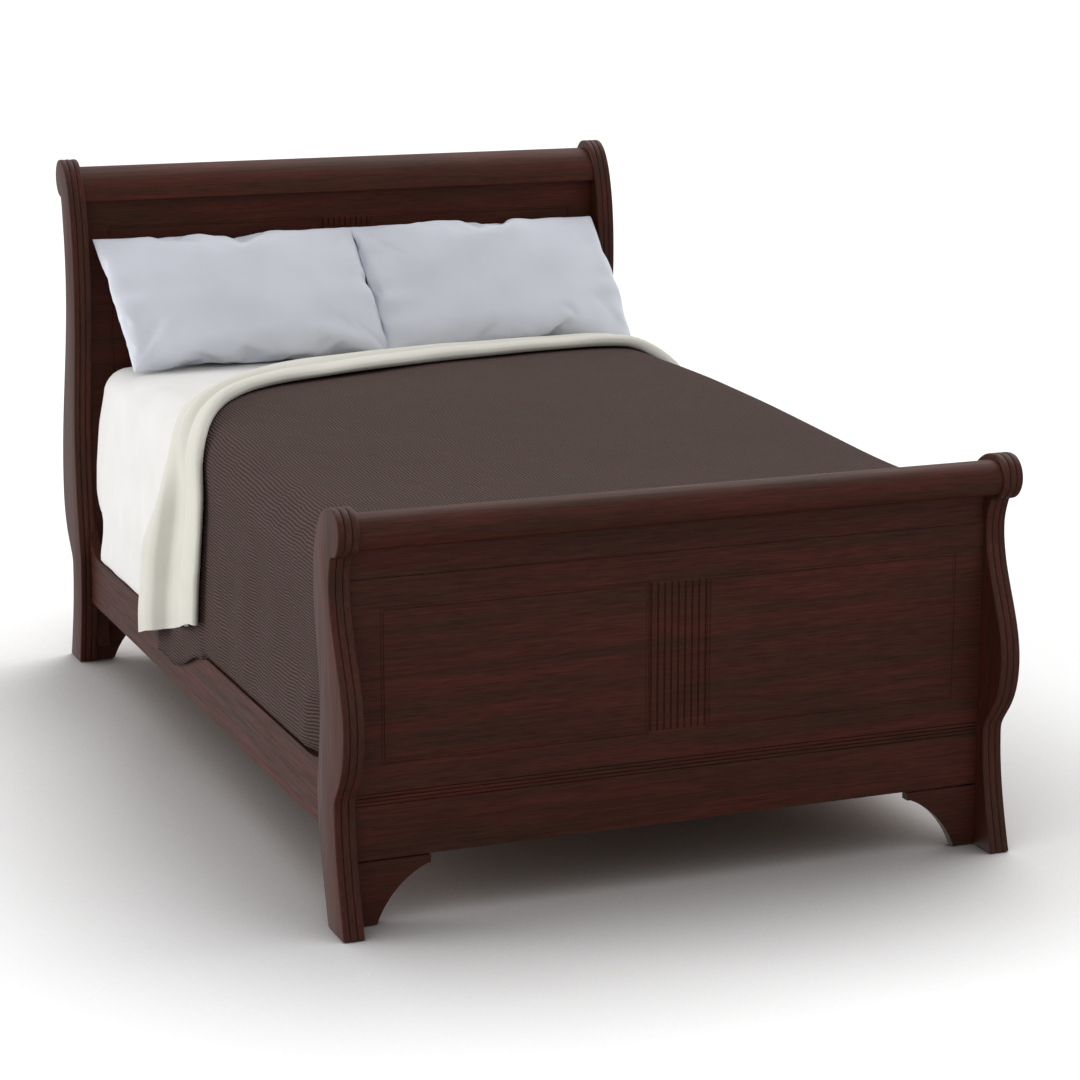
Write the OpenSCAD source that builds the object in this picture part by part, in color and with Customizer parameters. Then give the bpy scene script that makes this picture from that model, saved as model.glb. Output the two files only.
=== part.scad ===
// Sleigh bed: S-curved posts with scrolled tops, framed by rolls, panels and rails,
// made up with a mattress, sheets, a blanket and two pillows.
// Origin: floor level, centre of the bed. X across, foot end at -Y, head end at +Y, Z up.

/* [Mattress that the bed is made for] */
// Width of the mattress
mattress_width = 1372; // [960:4:1840]
// Length of the mattress
mattress_length = 2032; // [1600:4:2440]
// Thickness of the mattress
mattress_thickness = 352; // [280:2:430]
// Thickness of the box foundation
foundation_thickness = 228; // [150:2:280]
// Gap between the mattress and each side rail
side_gap = 13; // [6:1:30]
// Gap between the mattress and each end panel
end_gap = 54.5; // [30:0.5:100]

/* [End heights] */
// Height of the foot scrolls above the floor
foot_height = 867; // [780:1:1050]
// Height of the head scrolls above the floor
head_height = 1327; // [1100:1:1600]

/* [Posts] */
// Thickness of a post across the bed
post_thickness = 45; // [36:1:60]
// Number of reeds on a post's edge
reed_count = 3; // [2:1:5]
// Depth of the relief beside each reed
reed_relief = 3.5; // [1:0.5:5]
// Radius of the scroll at a post's top
scroll_radius = 48; // [40:1:56]
// Height of the ankle, where the foot meets the belly
ankle_height = 262; // [220:1:300]
// Height of the belly at the foot end
foot_belly_height = 425; // [390:1:480]
// Height of the belly at the head end
head_belly_height = 450; // [390:1:520]
// Inset of the foot posts' waist from their belly
foot_waist_inset = 81; // [60:1:90]
// Inset of the head posts' waist from their belly
head_waist_inset = 112; // [90:1:120]

/* [Panels and rolls] */
// Thickness of the end panels and the foot frieze
panel_thickness = 24; // [20:1:30]
// Radius of the outward roll
roll_radius = 37; // [30:1:42]
// Radius of the quarter round on the bed side
quarter_radius = 81; // [70:1:84]
// How far the foot roll lies under the top of its scrolls
foot_roll_drop = 12; // [8:1:30]
// How far the head roll lies under the top of its scrolls
head_roll_drop = 20; // [8:1:30]
// Height of the frieze under the foot roll
frieze_height = 61; // [40:1:90]
// Number of flutes in the middle of a panel
flute_count = 9; // [3:2:15]
// Distance between two flutes
flute_pitch = 15.25; // [12:0.25:20]

/* [Lower rails and bracket feet] */
// Height of the lower rails' underside
lower_rail_bottom = 135; // [110:1:160]
// Height of the lower rails
lower_rail_height = 141; // [120:1:180]
// Thickness of the lower rails
lower_rail_thickness = 30; // [26:1:40]
// Reach of a bracket foot from its post
bracket_reach = 165; // [120:1:220]
// Width of a bracket foot on the floor
bracket_toe = 50; // [30:1:70]
// Thickness of a bracket foot
bracket_thickness = 25; // [18:1:32]

/* [Side rails] */
// Height of the side rails' underside
rail_bottom = 173; // [150:1:200]
// Height of the side rails
rail_height = 132; // [110:1:170]
// Thickness of the side rails
rail_thickness = 24; // [20:1:32]
// How far the side rails lie in from the posts' outer faces
rail_inset = 27; // [20:1:32]
// Rise of the ears above the side rails
ear_rise = 100; // [60:1:110]
// Length of the foot ears
foot_ear_length = 165; // [100:5:220]
// Length of the head ears
head_ear_length = 120; // [90:5:200]

/* [Slats and centre support] */
// Number of slats
slat_count = 11; // [8:1:13]
// Width of a slat
slat_width = 90; // [60:1:110]
// Thickness of a slat
slat_thickness = 20; // [15:1:25]
// Side of the square slat cleats
cleat_size = 25; // [20:1:30]
// Width of the centre beam
beam_width = 40; // [30:1:50]
// Depth of the centre beam
beam_depth = 70; // [50:1:90]
// Side of a square support leg
leg_size = 45; // [35:1:60]
// Distance between two support legs
leg_spacing = 620; // [450:10:700]

/* [Pillows] */
// Width of a filled pillow
pillow_width = 690; // [500:5:760]
// Height of a filled pillow along its slant
pillow_height = 380; // [320:5:460]
// Thickness of a filled pillow
pillow_thickness = 150; // [100:5:180]
// Lean of the pillows from upright
pillow_lean = 32; // [15:1:40]

/* [Hidden] */
// fits
joint_clearance = 0.15;
seat_clearance = 0.3;
cloth = 3;

// heights
glide_height = 3;
leg_glide_height = 6;
rail_top = rail_bottom + rail_height;
cleat_bottom = rail_bottom + 5;
slat_bottom = cleat_bottom + cleat_size;
foundation_bottom = slat_bottom + slat_thickness;
mattress_bottom = foundation_bottom + foundation_thickness;
mattress_top = mattress_bottom + mattress_thickness;
sheet_top = mattress_top + cloth;

// widths, measured out from the middle of the bed
rail_inner_x = mattress_width / 2 + side_gap;
rail_outer_x = rail_inner_x + rail_thickness;
post_outer_x = rail_outer_x + rail_inset;
post_inner_x = post_outer_x - post_thickness;

// insets, measured in from the outermost point of an end's posts
foot_toe_inset = 17;
head_toe_inset = 25;
foot_ankle_inset = 66;
head_ankle_inset = 80;
foot_heel_inset = 119;
head_heel_inset = 130;
foot_shoulder_inset = 181;
head_shoulder_inset = 208;
back_ankle_inset = 177;
back_ankle_height = ankle_height + 25;
hollow_inset = 152;
foot_scroll_inset = foot_waist_inset - 20;
head_scroll_inset = head_waist_inset - 23;
rail_seat_inset = hollow_inset - 4;
foot_panel_inset = foot_waist_inset + 13;
head_panel_inset = head_waist_inset + 7;
foot_lower_inset = foot_panel_inset;
head_lower_inset = head_panel_inset + panel_thickness - lower_rail_thickness;
foot_bracket_inset = foot_panel_inset - 3;
head_bracket_inset = head_lower_inset - 15;

// lengths
foot_inner_inset = foot_panel_inset + panel_thickness;
head_inner_inset = head_panel_inset + panel_thickness;
bed_length = mattress_length + 2 * end_gap + foot_inner_inset + head_inner_inset;
half_length = bed_length / 2;
mattress_y = (foot_inner_inset - head_inner_inset) / 2;
foot_inner_y = foot_inner_inset - half_length;
head_inner_y = half_length - head_inner_inset;

// rolls and panels
foot_roll_z = foot_height - foot_roll_drop - roll_radius;
head_roll_z = head_height - head_roll_drop - roll_radius;
foot_roll_inset = foot_scroll_inset - 4;
head_roll_inset = head_scroll_inset - 1;
panel_bottom = lower_rail_bottom + lower_rail_height;
tongue = 8;
tongue_thickness = 10;
tenon_length = 22;
tenon_thickness = 12;
tenon_setback = 2;
frame_margin = 62;
head_frame_top_margin = 73;
frame_side_margin = 64;
bead_width = 7;
bead_depth = 2;
flute_width = 4;
reed_band_height = 26;
band_groove = 2;

// rail hardware
plate_width = 14;
plate_height = 110;
plate_thickness = 3;
plate_x = post_inner_x + 10.5;
plate_bottom = rail_bottom + (rail_height - plate_height) / 2;
hook_heights = [plate_bottom + 30, plate_bottom + 82];
hook_thickness = 3;
plate_screw_heights = [plate_bottom + 8, plate_bottom + 56, plate_bottom + 103];
screw_d = 4;
screw_head_d = 8;
slot_screw_length = 20;
hook_screw_length = 32;
cleat_screw_length = 40;
slat_screw_length = 35;

// slats and cleats
cleat_end_gap = 60;
cleat_length = bed_length - 2 * rail_seat_inset - 2 * cleat_end_gap;
cleat_y = 0;
cleat_screw_count = 7;
slat_span = mattress_length - 140;
slat_length = 2 * rail_inner_x - 2;
slat_screw_x = rail_inner_x - cleat_size / 2;
beam_bottom = slat_bottom - beam_depth;
beam_start_y = foot_lower_inset + lower_rail_thickness - half_length;
beam_end_y = half_length - head_lower_inset - lower_rail_thickness;
hanger_thickness = 3;
hanger_depth = 30;

// bedding
sheet_x = mattress_width / 2 + cloth;
cover_x = min(rail_inner_x, post_inner_x) - 1;
sheet_hem = rail_bottom + 62;
fold_start_y = mattress_y + mattress_length / 2 - 600;
fold_end_y = fold_start_y + 320;
under_top = sheet_top + 2;
blanket_top = under_top + 22;
fold_top = under_top + 32;
drop_start_y = fold_start_y - 540;
drop_end_y = fold_start_y - 75;
blanket_drop_bottom = rail_top - 73;
sheet_drop_bottom = rail_top - 30;
drop_layer = 7;
pillow_x = pillow_width / 2 + 4;
pillow_y = head_inner_y - 148;
pillow_gap = 5;
pillow_z = sheet_top + pillow_gap + pillow_height / 2 * cos(pillow_lean);
case_wall = 3;

slat_names = [for (i = [1 : slat_count]) str("slat_", i)];

wood = [0.24, 0.11, 0.08];
pine = [0.78, 0.62, 0.42];
steel = [0.62, 0.62, 0.64];
nylon = [0.12, 0.12, 0.12];

// ---- the post's outline: [inset, height] pairs from the toe, over the scroll, to the heel ----

// Points of a stretch: from t = 0 up to, but not including, t = 1
function steps(n) = [for (i = [0 : n - 1]) i / n];
function mix(a, b, t) = a + (b - a) * t;
function half_wave(t) = (1 - cos(180 * t)) / 2;
function bezier(a, b, c, d, t) =
    pow(1 - t, 3) * a + 3 * pow(1 - t, 2) * t * b + 3 * (1 - t) * t * t * c + pow(t, 3) * d;

// An end's shape: [height, belly height, toe, ankle, waist, scroll, shoulder, heel]
foot_shape = [foot_height, foot_belly_height, foot_toe_inset, foot_ankle_inset,
    foot_waist_inset, foot_scroll_inset, foot_shoulder_inset, foot_heel_inset];
head_shape = [head_height, head_belly_height, head_toe_inset, head_ankle_inset,
    head_waist_inset, head_scroll_inset, head_shoulder_inset, head_heel_inset];

// The waist, shoulder and hollow lie at set shares of the way from the belly to the scroll's centre
function rise(s, share) = s[1] + (s[0] - scroll_radius - s[1]) * share;

function lower_leg(s) = [for (t = steps(6))
    [mix(s[2], s[3], sin(90 * t)), mix(glide_height, ankle_height, t)]];
function belly(s) = [for (t = steps(9))
    bezier([s[3], ankle_height], [s[3], ankle_height + 38], [0, ankle_height + 58], [0, s[1]], t)];
function waist(s) = [for (t = steps(12)) [s[4] * half_wave(t), mix(s[1], rise(s, 0.72), t)]];
function neck(s) = [for (t = steps(5))
    [mix(s[4], s[5] + 4, 1 - cos(90 * t)), mix(rise(s, 0.72), s[0] - 2 * scroll_radius - 2, t)]];
function scroll(s) = [for (t = steps(14))
    [s[5] - scroll_radius * sin(180 * t), s[0] - scroll_radius - scroll_radius * cos(180 * t)]];
function shoulder(s) = [for (t = steps(14))
    [mix(s[5], s[6], pow(sin(90 * t), 0.91)),
     mix(rise(s, 0.69), s[0], pow(cos(90 * t), 0.91))]];
function inner_back(s) = [for (t = steps(12))
    [mix(s[6], hollow_inset, half_wave(t)), mix(rise(s, 0.69), rise(s, 0.1), t)]];
function inner_hollow(s) = [for (t = steps(6))
    [mix(hollow_inset, back_ankle_inset, 1 - cos(90 * t)), mix(rise(s, 0.1), back_ankle_height, t)]];
function inner_leg(s) = [for (t = [0 : 1 / 6 : 1.001])
    [mix(back_ankle_inset, s[7], 1 - cos(90 * t)), mix(back_ankle_height, glide_height, t)]];
function post_edge(s) = concat(lower_leg(s), belly(s), waist(s), neck(s), scroll(s),
    shoulder(s), inner_back(s), inner_hollow(s), inner_leg(s));

// The same edge moved into the wood by a depth; its two ends stay level with the floor
function moved_in(edge, depth) = [for (i = [0 : len(edge) - 1])
    let (along = edge[min(i + 1, len(edge) - 1)] - edge[max(i - 1, 0)],
         normal = [along[1], -along[0]] / norm(along),
         point = edge[i] + depth * normal)
    [point[0], (i == 0 || i == len(edge) - 1) ? glide_height : point[1]]];

// ---- placing ----

// Stands an [inset, height] outline up in the YZ plane and gives it a thickness along X
module upright(thickness) {
    rotate([90, 0, 90]) linear_extrude(thickness) children();
}
module at_foot() { translate([0, -half_length, 0]) children(); }
module at_head() { translate([0, half_length, 0]) mirror([0, 1, 0]) children(); }
module on_left() { mirror([1, 0, 0]) children(); }
module on_both_sides() {
    children();
    on_left() children();
}
module at_both_ends() {
    at_foot() children();
    at_head() children();
}
// A countersunk screw along +Z, its head's flat top at the origin
module screw(length) {
    translate([0, 0, -length]) cylinder(h = length - 3, d = screw_d, $fn = 24);
    translate([0, 0, -3]) cylinder(h = 3, d1 = screw_d, d2 = screw_head_d, $fn = 24);
}
// The hole that a screw sits in, a little larger than the screw
module screw_hole(length) {
    translate([0, 0, -length - 0.5]) cylinder(h = length + 1, d = screw_d + 0.2, $fn = 24);
    translate([0, 0, -3]) cylinder(h = 3.01, d1 = screw_d + 0.2, d2 = screw_head_d + 0.2, $fn = 24);
}

// ---- posts, built on the right side with the inset measured along +Y ----

module reeded_post(s) {
    edge = post_edge(s);
    reed = post_thickness / reed_count;
    flank = reed / 5;
    upright(post_thickness) polygon(moved_in(edge, reed_relief));
    for (i = [0 : reed_count - 1])
        translate([i * reed + flank, 0, 0]) upright(reed - 2 * flank) polygon(edge);
}
// Room for the side rail's end, its slot plate, hooks and screws
module rail_housing() {
    translate([-1, rail_seat_inset, rail_bottom - joint_clearance])
        cube([rail_outer_x - post_inner_x + 1 + joint_clearance, 60,
              rail_height + ear_rise + 2 * joint_clearance]);
    translate([plate_x - post_inner_x, rail_seat_inset, 0]) {
        translate([-plate_width / 2 - joint_clearance, -plate_thickness - joint_clearance,
                   plate_bottom - joint_clearance])
            cube([plate_width + 2 * joint_clearance, plate_thickness + 1,
                  plate_height + 2 * joint_clearance]);
        for (z = hook_heights)
            translate([-3, -15, z - 14]) cube([6, 13, 27]);
        for (z = plate_screw_heights)
            translate([0, -joint_clearance, z]) rotate([-90, 0, 0]) screw_hole(slot_screw_length);
    }
}
module post(s, panel_inset, lower_inset, roll_inset, roll_z) {
    middle = panel_inset + panel_thickness / 2;
    groove_top = roll_z + roll_radius - quarter_radius + tongue;
    color(wood) translate([post_inner_x, 0, 0]) difference() {
        reeded_post(s);
        // groove for the tongues of the panel, and of the frieze at the foot
        translate([-1, middle - tongue_thickness / 2 - joint_clearance, panel_bottom - tongue])
            cube([tongue + 1 + joint_clearance, tongue_thickness + 2 * joint_clearance,
                  groove_top - panel_bottom + tongue]);
        // mortise for the lower rail
        translate([-1, lower_inset + tenon_setback - joint_clearance,
                   lower_rail_bottom + 20 - joint_clearance])
            cube([tenon_length + 1.5, tenon_thickness + 2 * joint_clearance,
                  lower_rail_height - 40 + 2 * joint_clearance]);
        // round mortise for the roll
        translate([-1, roll_inset, roll_z]) rotate([0, 90, 0])
            cylinder(h = tenon_length + 1.5, r = roll_radius / 2 + joint_clearance, $fn = 48);
        rail_housing();
    }
}
module foot_post() {
    at_foot() post(foot_shape, foot_panel_inset, foot_lower_inset, foot_roll_inset, foot_roll_z);
}
module head_post() {
    at_head() post(head_shape, head_panel_inset, head_lower_inset, head_roll_inset, head_roll_z);
}

// ---- rolls, frieze, panels and lower rails ----

module roll_section() {
    circle(r = roll_radius, $fn = 96);
    intersection() {
        translate([0, roll_radius - quarter_radius]) circle(r = quarter_radius, $fn = 160);
        translate([roll_radius - 6, roll_radius - quarter_radius]) square(quarter_radius);
    }
    intersection() {
        translate([0, roll_radius - quarter_radius]) circle(r = quarter_radius, $fn = 160);
        square(quarter_radius);
    }
}
module top_roll(roll_inset, roll_z, panel_inset) {
    groove_y = panel_inset + panel_thickness / 2 - tongue_thickness / 2 - joint_clearance;
    color(wood) difference() {
        union() {
            translate([-post_inner_x, roll_inset, roll_z]) upright(2 * post_inner_x) roll_section();
            translate([-post_inner_x - tenon_length, roll_inset, roll_z]) rotate([0, 90, 0])
                cylinder(h = 2 * (post_inner_x + tenon_length), r = roll_radius / 2, $fn = 48);
        }
        translate([-post_inner_x - 1, groove_y, roll_z + roll_radius - quarter_radius - 1])
            cube([2 * post_inner_x + 2, tongue_thickness + 2 * joint_clearance, tongue + 1.5]);
    }
}
// A board between the posts with a tongue on its top and both ends
module tongued_board(bottom, top, bottom_tongue) {
    translate([-post_inner_x, 0, bottom]) cube([2 * post_inner_x, panel_thickness, top - bottom]);
    translate([-post_inner_x - tongue, (panel_thickness - tongue_thickness) / 2, bottom - bottom_tongue])
        cube([2 * (post_inner_x + tongue), tongue_thickness, top - bottom + bottom_tongue + tongue]);
}
// The coved board between the foot roll and the foot panel
module foot_frieze() {
    top = foot_roll_z + roll_radius - quarter_radius;
    bottom = top - frieze_height;
    cove_radius = 100;
    color(wood) at_foot() translate([0, foot_panel_inset, 0]) difference() {
        tongued_board(bottom, top, 0);
        translate([-post_inner_x - tongue - 1, (panel_thickness - tongue_thickness) / 2 - joint_clearance,
                   bottom - 1])
            cube([2 * (post_inner_x + tongue) + 2, tongue_thickness + 2 * joint_clearance, tongue + 1.3]);
        translate([-post_inner_x, 4.5 - cove_radius, (top + bottom) / 2]) rotate([0, 90, 0])
            cylinder(h = 2 * post_inner_x, r = cove_radius, $fn = 160);
    }
}
// A rectangular bead cut into the face at y = 0: a shallow groove all round
module bead_frame(x0, x1, z0, z1) {
    difference() {
        translate([x0, -1, z0]) cube([x1 - x0, 1 + bead_depth, z1 - z0]);
        translate([x0 + bead_width, -2, z0 + bead_width])
            cube([x1 - x0 - 2 * bead_width, 4 + bead_depth, z1 - z0 - 2 * bead_width]);
    }
}
// Flutes in the middle and a bead frame on each side, from low to high on the face at y = 0
module panel_decoration(low, high) {
    flutes_half = (flute_count - 1) / 2 * flute_pitch;
    for (i = [0 : flute_count - 1])
        translate([i * flute_pitch - flutes_half - flute_width / 2, -1, low])
            cube([flute_width, 1 + bead_depth, high - low]);
    on_both_sides()
        bead_frame(flutes_half + 6, post_inner_x - frame_side_margin, low, high);
}
module foot_panel() {
    top = foot_roll_z + roll_radius - quarter_radius - frieze_height;
    color(wood) at_foot() translate([0, foot_panel_inset, 0]) difference() {
        tongued_board(panel_bottom, top, tongue);
        panel_decoration(panel_bottom + frame_margin, top - frame_margin);
    }
}
// The head panel runs up to its roll and is decorated on the bed side
module head_panel() {
    top = head_roll_z + roll_radius - quarter_radius;
    color(wood) at_head() translate([0, head_panel_inset, 0]) difference() {
        tongued_board(panel_bottom, top, tongue);
        translate([0, panel_thickness, 0]) mirror([0, 1, 0])
            panel_decoration(panel_bottom + frame_margin, top - head_frame_top_margin);
    }
}
module lower_rail(lower_inset, groove_middle, face) {
    top = lower_rail_bottom + lower_rail_height;
    color(wood) difference() {
        union() {
            translate([-post_inner_x, lower_inset, lower_rail_bottom])
                cube([2 * post_inner_x, lower_rail_thickness, lower_rail_height]);
            translate([-post_inner_x - tenon_length, lower_inset + tenon_setback,
                       lower_rail_bottom + 20])
                cube([2 * (post_inner_x + tenon_length), tenon_thickness, lower_rail_height - 40]);
        }
        translate([-post_inner_x - 1, groove_middle - tongue_thickness / 2 - joint_clearance,
                   top - tongue - joint_clearance])
            cube([2 * post_inner_x + 2, tongue_thickness + 2 * joint_clearance, tongue + 1]);
        // the reed band along the top edge
        for (i = [0 : 3])
            translate([-post_inner_x - 1, face - band_groove,
                       top - reed_band_height + i * (reed_band_height - band_groove) / 3])
                cube([2 * post_inner_x + 2, 2 * band_groove, band_groove]);
    }
}

// ---- bracket feet ----

module bracket(bracket_inset) {
    lip = 17;
    cove = lower_rail_bottom - lip - glide_height;
    reach_x = post_inner_x - bracket_reach;
    toe_x = post_inner_x - bracket_toe;
    fillet = 8;
    cove_x = reach_x + fillet;
    // the cove lies halfway between a quarter of an ellipse and a straight line
    outline = concat(
        [[post_inner_x, glide_height], [toe_x, glide_height]],
        [for (t = [0.1 : 0.1 : 0.91])
            [mix(cove_x, toe_x, (cos(90 * t) + 1 - t) / 2), glide_height + cove * (sin(90 * t) + t) / 2]],
        [[cove_x, lower_rail_bottom - lip], [reach_x, lower_rail_bottom - lip],
         [reach_x, lower_rail_bottom], [post_inner_x, lower_rail_bottom]]);
    color(wood) translate([0, bracket_inset + bracket_thickness, 0])
        rotate([90, 0, 0]) linear_extrude(bracket_thickness) polygon(outline);
}
module bracket_block(bracket_inset) {
    block = 24;
    color(wood) translate([post_inner_x - block - 8, bracket_inset + bracket_thickness,
                           lower_rail_bottom - 90])
        cube([block + 8, block, 90]);
}
module bracket_blocks() {
    on_both_sides() {
        at_foot() bracket_block(foot_bracket_inset);
        at_head() bracket_block(head_bracket_inset);
    }
}

// ---- side rails ----

// One ear: a cove that rises from the rail's top to the post, by a quarter of an ellipse
function ear(length) = [for (t = [0 : 0.1 : 1.01])
    [(1 - sin(90 * t)) * length, rail_top + ear_rise * (1 - cos(90 * t))]];
module side_rail() {
    start = rail_seat_inset + seat_clearance;
    length = bed_length - 2 * start;
    post_overlap = hollow_inset - rail_seat_inset;
    foot_ear = [for (p = ear(foot_ear_length)) [p[0] + post_overlap, p[1]]];
    head_ear = [for (p = ear(head_ear_length)) [length - p[0] - post_overlap, p[1]]];
    outline = concat(
        [[0, rail_bottom], [0, rail_top + ear_rise]],
        [for (i = [len(foot_ear) - 1 : -1 : 0]) foot_ear[i]],
        head_ear,
        [[length, rail_top + ear_rise], [length, rail_bottom]]);
    color(wood) difference() {
        translate([rail_inner_x, start - half_length, 0]) upright(rail_thickness) polygon(outline);
        at_both_ends() translate([plate_x, start, 0]) {
            translate([-plate_width / 2 - joint_clearance, -1, plate_bottom - joint_clearance])
                cube([plate_width + 2 * joint_clearance, plate_thickness + 1 + joint_clearance,
                      plate_height + 2 * joint_clearance]);
            for (z = plate_screw_heights)
                translate([0, 0, z]) rotate([90, 0, 0]) screw_hole(hook_screw_length);
        }
        cleat_screw_places() screw_hole(cleat_screw_length);
    }
}

// ---- rail hardware ----

module hook_plate() {
    start = rail_seat_inset + seat_clearance;
    translate([plate_x, 0, 0]) difference() {
        union() {
            translate([-plate_width / 2, start, plate_bottom])
                cube([plate_width, plate_thickness, plate_height]);
            for (z = hook_heights)
                translate([-hook_thickness / 2, 0, z]) upright(hook_thickness) polygon([
                    [start, -5], [start, 9], [start - 10, 9], [start - 10, -11],
                    [rail_seat_inset - plate_thickness - 0.4, -11],
                    [rail_seat_inset - plate_thickness - 0.4, -5]]);
        }
        for (z = plate_screw_heights)
            translate([0, start, z]) rotate([90, 0, 0]) screw_hole(hook_screw_length);
    }
}
module slot_plate() {
    translate([plate_x, rail_seat_inset, 0]) difference() {
        translate([-plate_width / 2, -plate_thickness, plate_bottom])
            cube([plate_width, plate_thickness, plate_height]);
        for (z = hook_heights)
            translate([-2, -plate_thickness - 1, z - 12]) cube([4, plate_thickness + 2, 23]);
        for (z = plate_screw_heights)
            translate([0, 0, z]) rotate([-90, 0, 0]) screw_hole(slot_screw_length);
    }
}
module rail_hook_plates() {
    color(steel) on_both_sides() at_both_ends() hook_plate();
}
module post_slot_plates() {
    color(steel) on_both_sides() at_both_ends() slot_plate();
}
module hook_plate_screws() {
    color(steel) on_both_sides() at_both_ends() for (z = plate_screw_heights)
        translate([plate_x, rail_seat_inset + seat_clearance, z]) rotate([90, 0, 0]) screw(hook_screw_length);
}
module slot_plate_screws() {
    color(steel) on_both_sides() at_both_ends() for (z = plate_screw_heights)
        translate([plate_x, rail_seat_inset, z]) rotate([-90, 0, 0]) screw(slot_screw_length);
}

// ---- cleats, slats and the centre support ----

// Where the cleats' screws go: heads on the cleat's inner face, points in the rail
module cleat_screw_places() {
    for (i = [0 : cleat_screw_count - 1])
        translate([rail_inner_x - cleat_size,
                   cleat_y + (i / (cleat_screw_count - 1) - 0.5) * (cleat_length - 80),
                   cleat_bottom + cleat_size / 2])
            rotate([0, -90, 0]) children();
}
function slat_y(i) = mattress_y + ((i - 1) / (slat_count - 1) - 0.5) * slat_span;
module slat_screw_places() {
    for (i = [1 : slat_count])
        translate([slat_screw_x, slat_y(i), foundation_bottom]) children();
}
module slat_cleat() {
    color(pine) difference() {
        translate([rail_inner_x - cleat_size, cleat_y - cleat_length / 2, cleat_bottom])
            cube([cleat_size, cleat_length, cleat_size]);
        cleat_screw_places() screw_hole(cleat_screw_length);
        slat_screw_places() screw_hole(slat_screw_length);
    }
}
module cleat_screws() {
    color(steel) on_both_sides() cleat_screw_places() screw(cleat_screw_length);
}
module slat(i) {
    color(pine) difference() {
        translate([-slat_length / 2, slat_y(i) - slat_width / 2, slat_bottom])
            cube([slat_length, slat_width, slat_thickness]);
        on_both_sides() slat_screw_places() screw_hole(slat_screw_length);
    }
}
module slat_screws() {
    color(steel) on_both_sides() slat_screw_places() screw(slat_screw_length);
}
module centre_beam() {
    color(pine)
        translate([-beam_width / 2, beam_start_y + hanger_thickness + seat_clearance, beam_bottom])
            cube([beam_width, beam_end_y - beam_start_y - 2 * hanger_thickness - 2 * seat_clearance,
                  beam_depth]);
}
// A steel cup on a lower rail that the centre beam drops into
module hanger() {
    width = beam_width + 2 * seat_clearance;
    translate([-width / 2 - hanger_thickness, 0, beam_bottom - hanger_thickness])
        difference() {
            cube([width + 2 * hanger_thickness, hanger_depth, beam_depth - 6]);
            translate([hanger_thickness, hanger_thickness, hanger_thickness])
                cube([width, hanger_depth, beam_depth]);
        }
}
module beam_hangers() {
    color(steel) {
        translate([0, beam_start_y, 0]) hanger();
        translate([0, beam_end_y, 0]) mirror([0, 1, 0]) hanger();
    }
}
module centre_leg(i) {
    color(pine) translate([-leg_size / 2, (i - 2) * leg_spacing - leg_size / 2, leg_glide_height])
        cube([leg_size, leg_size, beam_bottom - leg_glide_height]);
}
module leg_glides() {
    color(nylon) for (i = [-1 : 1])
        translate([0, i * leg_spacing, 0]) cylinder(h = leg_glide_height, r = 14, $fn = 48);
}
module post_glides() {
    glide_inset = (foot_toe_inset + foot_heel_inset) / 2;
    color(nylon) on_both_sides() at_both_ends()
        translate([post_inner_x + post_thickness / 2, glide_inset + 4, 0])
            cylinder(h = glide_height, r = 12, $fn = 48);
}

// ---- bedding ----

// A block centred on the mattress
module bed_block(half_width, start_y, end_y, bottom, top) {
    translate([-half_width, start_y, bottom])
        cube([2 * half_width, end_y - start_y, top - bottom]);
}
mattress_start_y = mattress_y - mattress_length / 2;
mattress_end_y = mattress_y + mattress_length / 2;

module foundation() {
    color([0.85, 0.84, 0.8])
        bed_block(mattress_width / 2, mattress_start_y, mattress_end_y, foundation_bottom, mattress_bottom);
}
module mattress() {
    color([0.9, 0.9, 0.88])
        bed_block(mattress_width / 2, mattress_start_y, mattress_end_y, mattress_bottom, mattress_top);
}
// A cover over the mattress: a closed skin on the top, both sides and the foot end
module fitted_sheet() {
    color([0.96, 0.96, 0.95]) difference() {
        bed_block(sheet_x, mattress_start_y - cloth, mattress_end_y + cloth, sheet_hem, sheet_top);
        bed_block(mattress_width / 2, mattress_start_y, mattress_end_y, sheet_hem - 1, mattress_top);
    }
}
// The part of a cover that hangs over the left side rail, in layers counted out from the rail
module outside_drop(start_y, end_y, layer, bottom) {
    outer_x = rail_outer_x + 2 + (layer + 1) * drop_layer;
    bridge_z = rail_top + 1 + layer * 4;
    translate([-outer_x, start_y, bottom]) cube([drop_layer, end_y - start_y, bridge_z + 4 - bottom]);
    translate([-outer_x, start_y, bridge_z]) cube([outer_x - cover_x, end_y - start_y, 4]);
}
module top_sheet() {
    side_layer = 4;
    color([0.91, 0.88, 0.8]) {
        difference() {
            bed_block(sheet_x + 2, mattress_start_y - cloth - 2, fold_end_y, sheet_hem, under_top);
            bed_block(sheet_x, mattress_start_y - cloth, fold_end_y + 1, sheet_hem - 1, sheet_top);
        }
        bed_block(sheet_x - 20, fold_start_y, fold_end_y, under_top, fold_top);
        // the fold's left end sweeps down over the blanket's side and the rail
        translate([-cover_x - side_layer, drop_start_y, rail_top + 5])
            cube([side_layer, fold_start_y - drop_start_y, blanket_top + side_layer - rail_top - 5]);
        translate([-cover_x, drop_start_y, blanket_top])
            cube([90, fold_start_y - drop_start_y + 5, side_layer]);
        outside_drop(drop_start_y, fold_start_y, 1, sheet_drop_bottom);
    }
}
module blanket() {
    color([0.22, 0.18, 0.16]) {
        difference() {
            bed_block(cover_x, mattress_start_y - cloth - 8, fold_start_y, sheet_hem, blanket_top);
            bed_block(sheet_x + 2, mattress_start_y - cloth - 2, fold_start_y + 1, sheet_hem - 1, under_top);
        }
        outside_drop(drop_start_y, drop_end_y, 0, blanket_drop_bottom);
    }
}
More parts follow.
